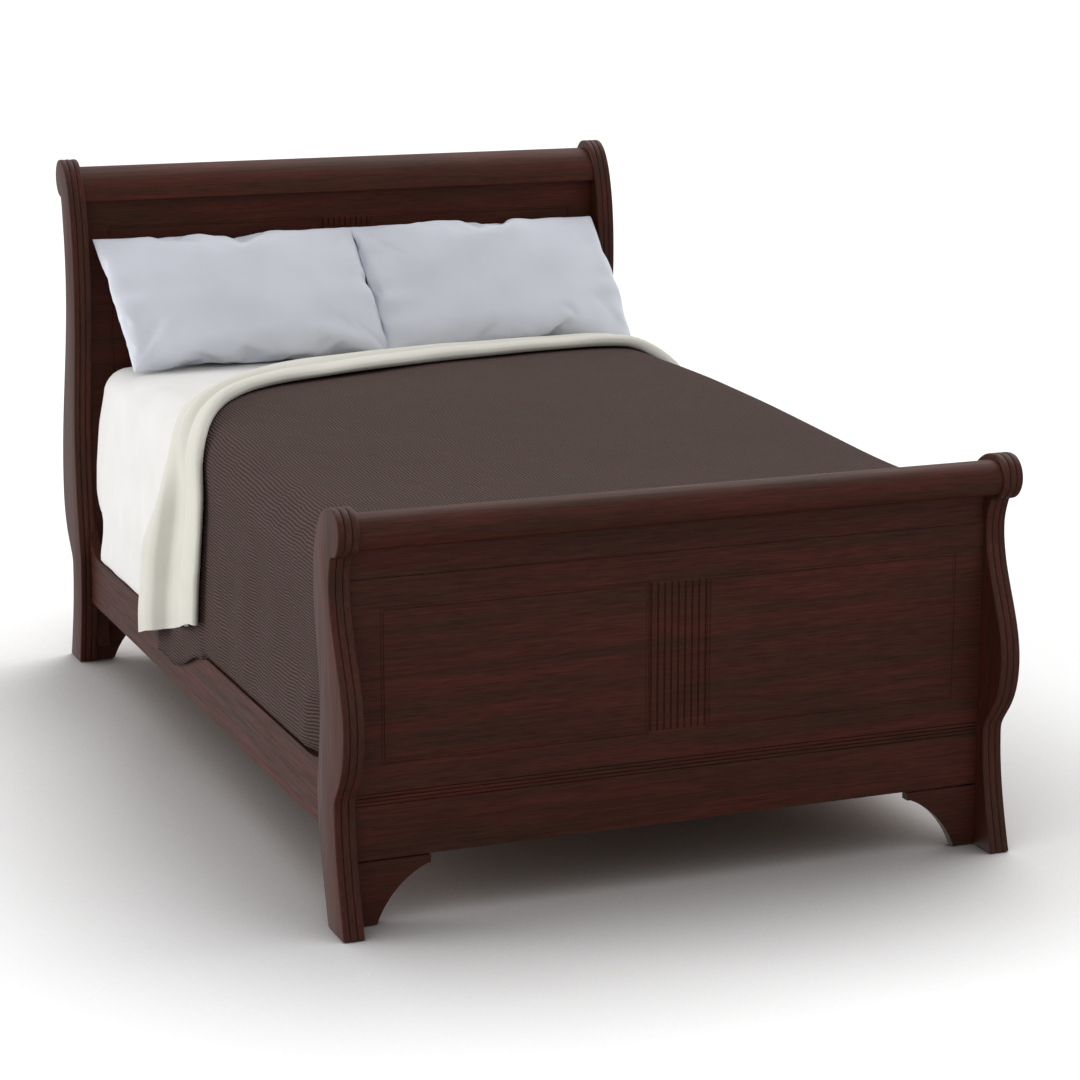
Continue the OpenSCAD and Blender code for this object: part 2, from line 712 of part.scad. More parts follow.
// A lens-shaped prism: two arcs, cut off a little before they meet in a sharp edge
module lens(width, thickness, length) {
    sharp_width = width + 16;
    r = (sharp_width * sharp_width / 4 + thickness * thickness / 4) / thickness;
    linear_extrude(length, center = true) intersection() {
        translate([0, thickness / 2 - r]) circle(r = r, $fn = 240);
        translate([0, r - thickness / 2]) circle(r = r, $fn = 240);
        square([width, 2 * thickness], center = true);
    }
}
// A filled pillow standing in the XZ plane, its thickness along Y
module pillow_form(width, height, thickness) {
    intersection() {
        lens(width, thickness, height + 2);
        rotate([0, 90, 0]) lens(height, thickness, width + 2);
    }
}
module place_pillow() {
    translate([pillow_x, pillow_y, pillow_z]) rotate([-pillow_lean, 0, 0]) children();
}
module pillow() {
    inner = 2 * case_wall + 1;
    color([0.95, 0.95, 0.95]) place_pillow()
        pillow_form(pillow_width - 5 * inner, pillow_height - 4 * inner, pillow_thickness - inner);
}
module pillowcase() {
    inner = 2 * case_wall;
    color([0.87, 0.89, 0.93]) place_pillow() difference() {
        pillow_form(pillow_width, pillow_height, pillow_thickness);
        pillow_form(pillow_width - 5 * inner, pillow_height - 4 * inner, pillow_thickness - inner);
    }
}

on_left() foot_post();  // left_foot_post
foot_post();  // right_foot_post
on_left() head_post();  // left_head_post
head_post();  // right_head_post
at_foot() top_roll(foot_roll_inset, foot_roll_z, foot_panel_inset);  // foot_top_roll
at_head() top_roll(head_roll_inset, head_roll_z, head_panel_inset);  // head_top_roll
foot_frieze();
foot_panel();
head_panel();
at_foot() lower_rail(foot_lower_inset, foot_panel_inset + panel_thickness / 2, foot_lower_inset);  // foot_lower_rail
at_head() lower_rail(head_lower_inset, head_panel_inset + panel_thickness / 2,  // head_lower_rail
                         head_lower_inset + lower_rail_thickness);
on_left() at_foot() bracket(foot_bracket_inset);  // left_foot_bracket
at_foot() bracket(foot_bracket_inset);  // right_foot_bracket
on_left() at_head() bracket(head_bracket_inset);  // left_head_bracket
at_head() bracket(head_bracket_inset);  // right_head_bracket
bracket_blocks();
on_left() side_rail();  // left_side_rail
side_rail();  // right_side_rail
on_left() slat_cleat();  // left_slat_cleat
slat_cleat();  // right_slat_cleat
centre_beam();
centre_leg(1);  // centre_leg_1
centre_leg(2);  // centre_leg_2
centre_leg(3);  // centre_leg_3
beam_hangers();
rail_hook_plates();
post_slot_plates();
hook_plate_screws();
slot_plate_screws();
cleat_screws();
slat_screws();
post_glides();
leg_glides();
foundation();
mattress();
fitted_sheet();
top_sheet();
blanket();
on_left() pillow();  // left_pillow
on_left() pillowcase();  // left_pillowcase
pillow();  // right_pillow
pillowcase();  // right_pillowcase
for (i = [1 : slat_count])
    slat(i);
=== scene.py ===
# %% [markdown]
# A sleigh bed, made up for the night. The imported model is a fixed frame: it says where every
# board, screw and pillow is. This script builds the pieces that are seen, in the same metres and
# the same axes (X across, foot end at -Y, head end at +Y, Z up), and gives each one its finish.

# %% Load the frame
import math
import bmesh
import bpy
import numpy as np
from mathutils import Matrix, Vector


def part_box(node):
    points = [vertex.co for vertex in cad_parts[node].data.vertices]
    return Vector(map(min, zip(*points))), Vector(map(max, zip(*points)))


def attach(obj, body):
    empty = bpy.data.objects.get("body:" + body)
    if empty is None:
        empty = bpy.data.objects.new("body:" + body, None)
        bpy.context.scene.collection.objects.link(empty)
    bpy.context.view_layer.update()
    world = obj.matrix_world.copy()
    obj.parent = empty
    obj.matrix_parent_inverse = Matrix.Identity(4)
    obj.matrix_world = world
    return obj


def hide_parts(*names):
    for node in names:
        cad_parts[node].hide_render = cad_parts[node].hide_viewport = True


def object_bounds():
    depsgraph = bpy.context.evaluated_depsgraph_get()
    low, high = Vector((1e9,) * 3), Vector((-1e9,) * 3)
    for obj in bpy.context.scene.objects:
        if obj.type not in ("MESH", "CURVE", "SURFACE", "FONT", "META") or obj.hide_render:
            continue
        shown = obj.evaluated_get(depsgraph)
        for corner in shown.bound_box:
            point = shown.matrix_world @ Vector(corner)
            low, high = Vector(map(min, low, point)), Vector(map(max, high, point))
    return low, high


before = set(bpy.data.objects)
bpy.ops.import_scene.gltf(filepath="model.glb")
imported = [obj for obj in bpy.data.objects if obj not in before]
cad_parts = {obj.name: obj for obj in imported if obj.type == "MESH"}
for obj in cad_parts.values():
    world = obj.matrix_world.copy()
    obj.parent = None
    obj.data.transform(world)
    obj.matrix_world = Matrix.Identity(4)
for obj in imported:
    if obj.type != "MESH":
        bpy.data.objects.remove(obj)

cad_box = [list(corner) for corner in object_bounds()]
half_length = cad_box[1][1]
print("CAD box, metres:", [[round(v, 4) for v in corner] for corner in cad_box])

# %% [markdown]
# The camera stands in front of the foot end, a little to the left, and looks slightly down with
# a long lens, so that the bed's upright lines stay nearly parallel. A wider lens from closer by
# would also take in the whole bed, but it would make the foot end swell.

# %% Camera
view = bpy.data.cameras.new("view")
view.lens = 98.98
view.sensor_width = 36
view.clip_end = 300
camera = bpy.data.objects.new("camera", view)
camera.location = (-2.4307, -6.4502, 2.0838)
camera.rotation_euler = (math.pi / 2 - 0.226, 0, -0.3788)
bpy.context.scene.collection.objects.link(camera)
bpy.context.scene.camera = camera
bpy.context.scene.view_settings.view_transform = "Standard"
print("camera", round(camera.location.length, 2), "m from the bed's middle")

# %% [markdown]
# Every finish is built from shader nodes, and most need the same few steps: arithmetic, mixing two
# colours, stretching part of a noise over a new range, relief. They could be wired by hand each
# time. As small functions that take sockets or plain values they keep each finish short.

# %% Node helpers
def plain_material(name, colour, roughness):
    """A material with only a colour and a roughness, to which nodes can be added."""
    material = bpy.data.materials.new(name)
    material.use_nodes = True
    shader = material.node_tree.nodes["Principled BSDF"]
    shader.inputs["Base Color"].default_value = (*colour, 1)
    shader.inputs["Roughness"].default_value = roughness
    return material, material.node_tree, shader

def add_node(tree, kind, inputs, **settings):
    """A node with its settings; inputs holds sockets or plain values, by input name or number."""
    node = tree.nodes.new("ShaderNode" + kind)
    for name, value in settings.items():
        setattr(node, name, value)
    for which, value in inputs.items():
        if isinstance(value, (int, float, tuple)):
            node.inputs[which].default_value = value
        else:
            tree.links.new(value, node.inputs[which])
    return node

def math_node(tree, operation, *values):
    """One arithmetic step on sockets or numbers."""
    return add_node(tree, "Math", dict(enumerate(values)), operation=operation).outputs[0]

def colour_mix(tree, kind, factor, a, b):
    """Two colours mixed; each argument is a socket or a value."""
    return add_node(tree, "Mix", {0: factor, 6: a, 7: b}, data_type="RGBA", blend_type=kind).outputs[2]

def grey(tree, level):
    """One value on all three colour channels."""
    return add_node(tree, "CombineColor", {0: level, 1: level, 2: level}).outputs[0]

def spread(tree, value, low, high, to_low=0.0, to_high=1.0):
    """Stretches the part of a value from low to high over a new range."""
    return add_node(tree, "MapRange", {0: value, 1: low, 2: high, 3: to_low, 4: to_high}).outputs[0]

def stretched_noise(tree, vector, stretch, detail=2.0):
    """Noise whose cells are 1 / stretch metres long on each axis."""
    scaled = add_node(tree, "VectorMath", {0: vector, 1: stretch}, operation="MULTIPLY").outputs[0]
    return add_node(tree, "TexNoise", {"Vector": scaled, "Scale": 1, "Detail": detail}).outputs["Fac"]

def add_relief(tree, shader, height, strength, distance):
    """Shows a height as fine relief on the surface."""
    relief = add_node(tree, "Bump", {"Strength": strength, "Distance": distance, "Height": height})
    tree.links.new(relief.outputs[0], shader.inputs["Normal"])

def place_on(tree, source):
    """Where a point lies: on the solid piece ("Object"), on flat cloth ("UV") or in the sky."""
    return tree.nodes.new("ShaderNodeTexCoord").outputs[source]

# %% [markdown]
# The studio is a wide pale floor under a soft sky, with two very large soft lights. One is high
# behind the bed's right side and draws the soft shadow in front and on the left. The other comes
# from the left and fills the bed's long side. They are suns with a wide angle instead of lamps, so
# that the floor stays equally bright far away. The sky is dark below the horizon and brighter
# behind the bed, and the floor is kept out of reflections, because glossy dark wood takes on a grey
# veil from every pale thing that it mirrors. Soft light alone leaves the shadow under the bed too
# weak, so the floor's paint turns darker where less of the sky reaches it.

# %% Floor and light
floor_size = 120
open_paint, shaded_paint = (0.94, 0.94, 0.94), (0.16, 0.125, 0.115)
floor_mesh = bpy.data.meshes.new("studio_floor")
floor_mesh.from_pydata([(x * floor_size, y * floor_size, 0) for x, y in
                        ((-1, -1), (1, -1), (1, 1), (-1, 1))], [], [(0, 1, 2, 3)])
floor = bpy.data.objects.new("studio_floor", floor_mesh)
bpy.context.scene.collection.objects.link(floor)
floor_paint, floor_tree, floor_shader = plain_material("studio_floor_paint", open_paint, 0.9)
floor_shader.inputs["Specular IOR Level"].default_value = 0
nearby = add_node(floor_tree, "AmbientOcclusion", {"Distance": 0.9}, samples=8)
openness = math_node(floor_tree, "POWER", nearby.outputs["AO"], 1.25)
floor_tree.links.new(colour_mix(floor_tree, "MIX", openness, (*shaded_paint, 1), (*open_paint, 1)),
                     floor_shader.inputs["Base Color"])
floor_mesh.materials.append(floor_paint)
floor.visible_glossy = False

world = bpy.data.worlds.new("soft_sky")
world.use_nodes = True
sky = world.node_tree
background = sky.nodes["Background"]
background.inputs["Color"].default_value = (0.985, 0.99, 1, 1)
direction = add_node(sky, "SeparateXYZ", {0: place_on(sky, "Generated")})
above_horizon = spread(sky, direction.outputs["Z"], -0.06, 0.10, 0.12, 0.72)
behind_bed = spread(sky, direction.outputs["Y"], 0.3, 0.8, 0.0, 0.85)
sky.links.new(math_node(sky, "MAXIMUM", above_horizon, behind_bed), background.inputs["Strength"])
bpy.context.scene.world = world

def soft_sun(name, comes_from, width, strength, colour):
    """A sun whose disc is `width` degrees wide, so its shadows have no edge."""
    sun = bpy.data.lights.new(name, "SUN")
    sun.angle = math.radians(width)
    sun.energy = strength
    sun.color = colour
    holder = bpy.data.objects.new(name, sun)
    holder.rotation_euler = Vector(comes_from).to_track_quat("Z", "Y").to_euler()
    bpy.context.scene.collection.objects.link(holder)

soft_sun("behind_right", (0.70, 0.45, 1.0), 55, 1.6, (1, 0.99, 0.97))
soft_sun("left_fill", (-1.0, 0.35, 0.30), 34, 1.75, (1, 1, 1))
print("floor, sky and two soft suns")

# %% [markdown]
# Stained mahogany is first a colour that changes slowly along the board, then darker streaks that
# follow the grain, and last fine pores. Noise stretched along one axis gives all three. It could be painted
# as a picture, but a picture repeats and has to be unwrapped, while this runs through the solid
# board and so also looks right on its end. One node group holds it for every wooden piece.

# %% Wood grain group
def new_group(name, inputs, outputs):
    """A shader node group with named sockets, and its input and output nodes."""
    group = bpy.data.node_groups.new(name, "ShaderNodeTree")
    for label, kind, value in inputs:
        socket = group.interface.new_socket(label, in_out="INPUT", socket_type=kind)
        if value is not None:
            socket.default_value = value
    for label, kind in outputs:
        group.interface.new_socket(label, in_out="OUTPUT", socket_type=kind)
    return group, group.nodes.new("NodeGroupInput"), group.nodes.new("NodeGroupOutput")

grain, grain_in, grain_out = new_group(
    "wood_grain",
    [("Along Grain", "NodeSocketVector", None), ("Dark", "NodeSocketColor", (0.05, 0.03, 0.03, 1)),
     ("Red", "NodeSocketColor", (0.08, 0.03, 0.03, 1))],
    [("Color", "NodeSocketColor"), ("Roughness", "NodeSocketFloat"), ("Height", "NodeSocketFloat")])
along = grain_in.outputs["Along Grain"]
figure = spread(grain, stretched_noise(grain, along, (2.2, 30, 30), 5), 0.34, 0.68)
streaks = stretched_noise(grain, along, (7, 190, 190), 5)
pores = stretched_noise(grain, along, (26, 620, 620), 3)
stain = colour_mix(grain, "MIX", figure, grain_in.outputs["Dark"], grain_in.outputs["Red"])
streak_shade = spread(grain, streaks, 0.3, 0.7, 0.80, 1.17)
pore_shade = spread(grain, pores, 0.35, 0.6, 0.74, 1.09)
shade = grey(grain, math_node(grain, "MULTIPLY", streak_shade, pore_shade))
grain.links.new(colour_mix(grain, "MULTIPLY", 1.0, stain, shade), grain_out.inputs["Color"])
grain.links.new(spread(grain, streaks, 0.3, 0.7, 0.56, 0.46), grain_out.inputs["Roughness"])
grain.links.new(pores, grain_out.inputs["Height"])
print("wood_grain group with", len(grain.nodes), "nodes")

# %% Wood materials
quarter = math.pi / 2
grain_turns = {"x": (0, 0, 0), "y": (0, 0, quarter), "z": (0, quarter, 0)}

def wood_material(name, runs, start, dark, red, gloss=0.17, bump=0.12):
    """Wood whose grain runs along the axis `runs`; start moves the figure, so boards differ."""
    material, tree, shader = plain_material(name, red, 0.42)
    turn = add_node(tree, "Mapping", {"Vector": place_on(tree, "Object"), "Location": start,
                                      "Rotation": grain_turns[runs]})
    wood = add_node(tree, "Group", {"Along Grain": turn.outputs[0], "Dark": (*dark, 1),
                                    "Red": (*red, 1)}, node_tree=grain)
    tree.links.new(wood.outputs["Color"], shader.inputs["Base Color"])
    tree.links.new(wood.outputs["Roughness"], shader.inputs["Roughness"])
    add_relief(tree, shader, wood.outputs["Height"], bump, 0.0006)
    shader.inputs["Specular IOR Level"].default_value = gloss
    return material

mahogany_dark = (0.042, 0.0152, 0.0082)
mahogany_red = (0.066, 0.0146, 0.0090)
# Painted light: the head end's wood is the same mahogany made 14 per cent brighter, a lighter copy that
# lights up the head end.
head_dark_painted_lighter = tuple(1.14 * v for v in mahogany_dark)
head_red_painted_lighter = tuple(1.14 * v for v in mahogany_red)
across_wood = wood_material("mahogany_across", "x", (0.3, 0.1, 0), mahogany_dark, mahogany_red, 0.13)
head_wood_painted_lighter = wood_material("mahogany_head_painted_lighter", "x", (5.3, 2.1, 0.4), head_dark_painted_lighter, head_red_painted_lighter, 0.11)
post_wood = wood_material("mahogany_upright", "z", (0.7, 3.0, 1.1), mahogany_dark, mahogany_red)
rail_wood = wood_material("mahogany_along", "y", (2.2, 0.6, 0.9), mahogany_dark, mahogany_red, 0.09)
pine_dark, pine_light = (0.50, 0.33, 0.17), (0.66, 0.47, 0.27)
pine_wood = wood_material("pine", "x", (0, 0.4, 0), pine_dark, pine_light, 0.3)
pine_along = wood_material("pine_along", "y", (0, 0.4, 0), pine_dark, pine_light, 0.3)
print("wood materials made")

# %% [markdown]
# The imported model's hidden pieces, such as slats, cleats, screws and hook plates, already have
# the right shape, so they only get their finish. Zinc-plated steel is a light metal with slightly
# uneven brightness, and the glides are plain dark nylon with a fine moulded grain.

# %% Metal and nylon
def speckled_material(name, colour, roughness, metallic, cell):
    """A plain finish whose brightness and roughness vary a little, in spots `cell` metres wide."""
    material, tree, shader = plain_material(name, colour, roughness)
    shader.inputs["Metallic"].default_value = metallic
    spots = stretched_noise(tree, place_on(tree, "Object"), (1 / cell,) * 3, 3)
    darker = tuple(v * 0.72 for v in colour)
    tone = colour_mix(tree, "MIX", spots, (*darker, 1), (*colour, 1))
    tree.links.new(tone, shader.inputs["Base Color"])
    tree.links.new(spread(tree, spots, 0.3, 0.7, roughness - 0.06, roughness + 0.08),
                   shader.inputs["Roughness"])
    return material

zinc = speckled_material("zinc_plate", (0.62, 0.63, 0.66), 0.38, 1.0, 0.004)
nylon = speckled_material("moulded_nylon", (0.03, 0.03, 0.03), 0.5, 0.0, 0.001)

# %% [markdown]
# Every cloth here is woven or knitted, so its pattern follows the cloth's own lengthwise and
# crosswise threads. A sheet carries them as its UV map, in metres of flat cloth, and the pattern
# bends with the folds. The pillowcases are simulated and have no such map. They use their own solid
# coordinates, since their threads are too fine to tell. Each thread or stitch is one rounded hump,
# set half a stitch on in every second row. On the knitted blanket the rows also wander a little.

# %% Thread group
threads, threads_in, threads_out = new_group(
    "woven_threads",
    [("Cloth", "NodeSocketVector", None), ("Across", "NodeSocketFloat", 0.002),
     ("Along", "NodeSocketFloat", 0.002)],
    [("Stitch", "NodeSocketFloat")])
split = add_node(threads, "SeparateXYZ", {0: threads_in.outputs["Cloth"]})
turn_across = math_node(threads, "DIVIDE", split.outputs[0], threads_in.outputs["Across"])
turn_along = math_node(threads, "DIVIDE", split.outputs[1], threads_in.outputs["Along"])
row = math_node(threads, "MULTIPLY", math_node(threads, "FLOOR", turn_across), 0.5)
cell_across = math_node(threads, "FRACT", turn_across)
cell_along = math_node(threads, "FRACT", math_node(threads, "ADD", turn_along, row))
hump_across = math_node(threads, "SINE", math_node(threads, "MULTIPLY", cell_across, math.pi))
hump_along = math_node(threads, "SINE", math_node(threads, "MULTIPLY", cell_along, math.pi))
stitch = math_node(threads, "MULTIPLY", hump_across,
                   math_node(threads, "MULTIPLY_ADD", hump_along, 0.32, 0.68))
threads.links.new(stitch, threads_out.inputs["Stitch"])
print("woven_threads group with", len(threads.nodes), "nodes")

# %% Cloth materials
def cloth_material(name, colour, across, along, gap_shade, depth, source="UV", sheen=0.1, wobble=0.0):
    """Cloth of stitches across x along metres; the number after along is painted shade that darkens the
    gaps between them, and wobble is how far, in metres, the rows of stitches wander."""
    material, tree, shader = plain_material(name, colour, 0.9)
    place = place_on(tree, source)
    drift = add_node(tree, "TexNoise", {"Vector": place, "Scale": 14}).outputs["Color"]
    wander = add_node(tree, "VectorMath", {0: drift, 1: (wobble * 5,) * 3, 2: place},
                      operation="MULTIPLY_ADD").outputs[0]
    weave = add_node(tree, "Group", {"Cloth": wander, "Across": across, "Along": along},
                     node_tree=threads)
    # Painted shade: the colour darkens in the gaps between the stitches, where the stitch height is low.
    tone = spread(tree, weave.outputs["Stitch"], 0.0, 0.9, 1 - gap_shade, 1 + gap_shade / 3)
    uneven = spread(tree, stretched_noise(tree, place, (9, 9, 9), 3), 0.3, 0.7, 0.97, 1.03)
    shade = grey(tree, math_node(tree, "MULTIPLY", tone, uneven))
    tree.links.new(colour_mix(tree, "MULTIPLY", 1.0, (*colour, 1), shade), shader.inputs["Base Color"])
    add_relief(tree, shader, weave.outputs["Stitch"], depth, min(across, along) / 3)
    shader.inputs["Specular IOR Level"].default_value = 0.08
    shader.inputs["Sheen Weight"].default_value = sheen
    shader.inputs["Sheen Roughness"].default_value = 0.5
    return material

fine = (0.0016, 0.0016, 0.05, 0.15)
sheet_cloth = cloth_material("white_percale", (0.66, 0.65, 0.635), *fine)
cream_cloth = cloth_material("cream_sateen", (0.575, 0.56, 0.50), *fine)
case_cloth = cloth_material("pillowcase_percale", (0.63, 0.65, 0.71), *fine, "Object")
ticking_cloth = cloth_material("cotton_ticking", (0.66, 0.64, 0.58), 0.003, 0.006, 0.12, 0.3, "Object")
blanket_cloth = cloth_material("brown_knit", (0.0745, 0.0495, 0.043), 0.0078, 0.0150, 0.60, 1.0,
                               sheen=0, wobble=0.003)
print("cloth materials made")

# %% [markdown]
# Most wooden pieces are one outline pushed along a straight line, as a board comes off a moulding
# plane. A small function makes such a board from the outline's points. A polygon with crisp
# corners never looks like wood, because every real arris is rubbed off a little, so a Bevel
# modifier takes about a millimetre off each sharp edge.

# %% Board helpers
mm = 0.001

def link_piece(name, mesh, material, body="bed"):
    """Makes a mesh a piece of the bed, with its finish, riding on its body."""
    mesh.materials.append(material)
    piece = bpy.data.objects.new(name, mesh)
    bpy.context.scene.collection.objects.link(piece)
    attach(piece, body)
    return piece

def add_piece(name, points, faces, material, smooth_below=32):
    """Makes a piece from points and faces, shaded smooth below an angle."""
    mesh = bpy.data.meshes.new(name)
    mesh.from_pydata([tuple(p) for p in points], [], faces)
    mesh.update()
    mesh.shade_smooth()
    mesh.set_sharp_from_angle(angle=math.radians(smooth_below))
    return link_piece(name, mesh, material)

def grid_faces(rows, columns):
    """The squares of a net of rows x columns points."""
    return [(r * columns + c, r * columns + c + 1, (r + 1) * columns + c + 1, (r + 1) * columns + c)
            for r in range(rows - 1) for c in range(columns - 1)]

def soften(piece, width):
    """Rubs the sharp edges of a piece off by width."""
    bevel = piece.modifiers.new("rubbed_edges", "BEVEL")
    bevel.width = width
    bevel.segments = 2
    bevel.limit_method = "ANGLE"
    bevel.angle_limit = math.radians(35)
    bevel.harden_normals = True

def across_board(name, outline, x0, x1, material, rubbed=1.0 * mm):
    """A board whose (y, z) outline runs from x0 to x1."""
    n = len(outline)
    points = [(x, y, z) for x in (x0, x1) for y, z in outline]
    faces = [tuple(range(n))[::-1], tuple(range(n, 2 * n))]
    faces += [(i, (i + 1) % n, n + (i + 1) % n, n + i) for i in range(n)]
    piece = add_piece(name, points, faces, material)
    recalculate(piece)
    if rubbed:
        soften(piece, rubbed)
    return piece

def recalculate(piece):
    """Turns all faces outwards."""
    shape = bmesh.new()
    shape.from_mesh(piece.data)
    bmesh.ops.recalc_face_normals(shape, faces=shape.faces)
    shape.to_mesh(piece.data)
    shape.free()

# %% [markdown]
# A sleigh bed's post is one plank sawn to an S: a straight leg, a round belly, a waist, and a
# scroll that turns outwards at the top. Its narrow edges are worked into three reeds. Here the
# outline is written as a few curves (sine arcs for leg and shoulder, a Bezier for the belly, a
# half wave for the waist, a half circle for the scroll). The reeds come from building the same
# outline many times across the plank, each copy sunk a little according to the reeds' profile.

# %% Post outline
post_low, post_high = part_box("right_foot_post")
inner_x, outer_x, glide = post_low.x, post_high.x, post_low.z
scroll_radius, ankle, hollow = 48 * mm, 262 * mm, 152 * mm
back_ankle = (177 * mm, 287 * mm)
# belly height, toe, ankle, waist, scroll, shoulder and heel of each end's posts, in millimetres
post_sizes = {"foot": (425, 17, 66, 81, 61, 181, 119), "head": (450, 25, 80, 112, 89, 208, 130)}

def steps(n):
    """n even shares from 0 up to, not including, 1."""
    return [i / n for i in range(n)]

def mix(a, b, t):
    """The value t of the way from a to b."""
    return a + (b - a) * t

def sine(t):
    """Leaves fast and arrives softly."""
    return math.sin(t * math.pi / 2)

def cosine(t):
    """Leaves softly, from 1 down to 0."""
    return math.cos(t * math.pi / 2)

def half_wave(t):
    """Leaves and arrives softly."""
    return (1 - math.cos(t * math.pi)) / 2

def bezier(a, b, c, d, t):
    """A cubic Bezier from a to d."""
    return (1 - t) ** 3 * a + 3 * (1 - t) ** 2 * t * b + 3 * (1 - t) * t * t * c + t ** 3 * d

def post_outline(end_name):
    """(inset, height) points from the toe, over the scroll, to the heel."""
    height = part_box(f"right_{end_name}_post")[1].z
    belly_z, toe, ankle_in, waist, scroll, shoulder, heel = (size * mm for size in post_sizes[end_name])
    waist_z, neck_z, back_z = (mix(belly_z, height - scroll_radius, share) for share in (0.72, 0.69, 0.1))
    points = [(mix(toe, ankle_in, sine(t)), mix(glide, ankle, t)) for t in steps(14)]
    points += [(bezier(ankle_in, ankle_in, 0, 0, t),
                bezier(ankle, ankle + 38 * mm, ankle + 58 * mm, belly_z, t)) for t in steps(22)]
    points += [(waist * half_wave(t), mix(belly_z, waist_z, t)) for t in steps(30)]
    neck_top = height - 2 * scroll_radius - 2 * mm
    points += [(mix(waist, scroll + 4 * mm, 1 - cosine(t)), mix(waist_z, neck_top, t))
               for t in steps(12)]
    points += [(scroll - scroll_radius * math.sin(math.pi * t),
                height - scroll_radius - scroll_radius * math.cos(math.pi * t)) for t in steps(40)]
    points += [(mix(scroll, shoulder, sine(t) ** 0.91), mix(neck_z, height, cosine(t) ** 0.91))
               for t in steps(40)]
    points += [(mix(shoulder, hollow, half_wave(t)), mix(neck_z, back_z, t)) for t in steps(30)]
    points += [(mix(hollow, back_ankle[0], 1 - cosine(t)), mix(back_z, back_ankle[1], t))
               for t in steps(14)]
    points += [(mix(back_ankle[0], heel, 1 - cosine(t)), mix(back_ankle[1], glide, t))
               for t in steps(14)]
    return np.array(points + [(heel, glide)])

print("post outlines of", len(post_outline("foot")), "points")

# %% Reeded posts
reed_count = 3
reed_depth = 3.5 * mm
reed_stations = (0, 0.03, 0.08, 0.15, 0.25, 0.38, 0.5)

def reed_profile():
    """(share of the thickness, depth) across the plank: three round reeds with creases between."""
    one = [(u, reed_depth * (1 - math.sqrt(1 - (1 - 2 * u) ** 4))) for u in reed_stations]
    one += [(1 - u, depth) for u, depth in one[-2::-1]]
    return [((reed + u) / reed_count, depth) for reed in range(reed_count)
            for u, depth in (one if reed == reed_count - 1 else one[:-1])]

def sunk(outline, depth):
    """The outline moved into the wood by depth, its two ends kept level with the floor."""
    ahead = np.roll(outline, -1, axis=0)
    behind = np.roll(outline, 1, axis=0)
    ahead[-1], behind[0] = outline[-1], outline[0]
    way = ahead - behind
    way /= np.linalg.norm(way, axis=1)[:, None]
    moved = outline + depth * np.column_stack((way[:, 1], -way[:, 0]))
    moved[[0, -1], 1] = glide
    return moved

def reeded_post(name, outline, side, end):
    """side is -1 at the left, 1 at the right; end is -1 at the foot, 1 at the head."""
    profile = reed_profile()
    points = [(side * mix(inner_x, outer_x, share), end * (half_length - inset), z)
              for share, depth in profile for inset, z in sunk(outline, depth)]
    n, m = len(outline), len(profile)
    faces = [(k * n + i, k * n + (i + 1) % n, (k + 1) * n + (i + 1) % n, (k + 1) * n + i)
             for k in range(m - 1) for i in range(n)]
    faces += [tuple(range(n)), tuple(range((m - 1) * n, m * n))]
    piece = add_piece(name + "_reeded", points, faces, post_wood, smooth_below=50)
    recalculate(piece)
    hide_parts(name)
    return piece

for end_name, end in (("foot", -1), ("head", 1)):
    for side_name, side in (("left", -1), ("right", 1)):
        made = reeded_post(f"{side_name}_{end_name}_post", post_outline(end_name), side, end)
        print(made.name, len(made.data.vertices), "points")

# %% [markdown]
# The top roll is a round bar outside and a larger quarter round towards the bed, planed from one
# timber. The frieze under the foot roll is a flat board with a shallow cove. The lower rail ends
# in a band of small reeds. All three are outlines pushed across the bed, so their curves are
# written out finely instead of being cut with a round tool as they would be at the bench.

# %% Rolls
def arc(centre, radius, start, stop, n):
    """Points on a circle in the (y, z) plane; angles in degrees from +y."""
    return [(centre[0] + radius * math.cos(math.radians(mix(start, stop, i / n))),
             centre[1] + radius * math.sin(math.radians(mix(start, stop, i / n)))) for i in range(n + 1)]

quarter_radius = 81 * mm
roll_radius = 37 * mm

def top_roll(name, end, material):
    """The roll's outline, measured towards the bed from the middle of its round bar."""
    low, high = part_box(name)
    block_z = high.z - quarter_radius
    centre = abs(low.y if end < 0 else high.y) - roll_radius
    quarter_round = arc((0, block_z), quarter_radius, 0, 90, 28)
    bar = arc((0, high.z - roll_radius), roll_radius, 90, 327, 44)[1:]
    crease = (31 * mm, block_z)
    outline = [(end * (centre - y), z) for y, z in quarter_round + bar + [crease]]
    piece = across_board(name + "_turned", outline, -inner_x, inner_x, material, rubbed=0)
    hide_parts(name)
    return piece

foot_roll = top_roll("foot_top_roll", -1, across_wood)
top_roll("head_top_roll", 1, head_wood_painted_lighter)
print("rolls of", len(foot_roll.data.vertices), "points")

# %% Frieze and lower rails
panel_thickness = 24 * mm
foot_panel_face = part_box("foot_panel")[0].y
frieze_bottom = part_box("foot_frieze")[0].z
frieze_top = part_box("foot_top_roll")[1].z - quarter_radius
cove_radius, cove_depth = 100 * mm, 4.5 * mm
cove_half = math.sqrt(cove_radius ** 2 - (cove_radius - cove_depth) ** 2)
middle = (frieze_top + frieze_bottom) / 2
cove = [(foot_panel_face + cove_depth - cove_radius + math.sqrt(cove_radius ** 2 - h ** 2), middle + h)
        for h in np.linspace(-cove_half, cove_half, 18)]
joint_line = 2.8 * mm    # the open joint left under the frieze and under the lower rails
frieze_back, frieze_foot = foot_panel_face + panel_thickness, frieze_bottom + joint_line
frieze_outline = [(foot_panel_face, frieze_foot)] + cove + [
    (foot_panel_face, frieze_top), (frieze_back, frieze_top), (frieze_back, frieze_foot)]
foot_frieze = across_board("foot_frieze_coved", frieze_outline, -inner_x, inner_x, across_wood, 0.8 * mm)
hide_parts("foot_frieze")

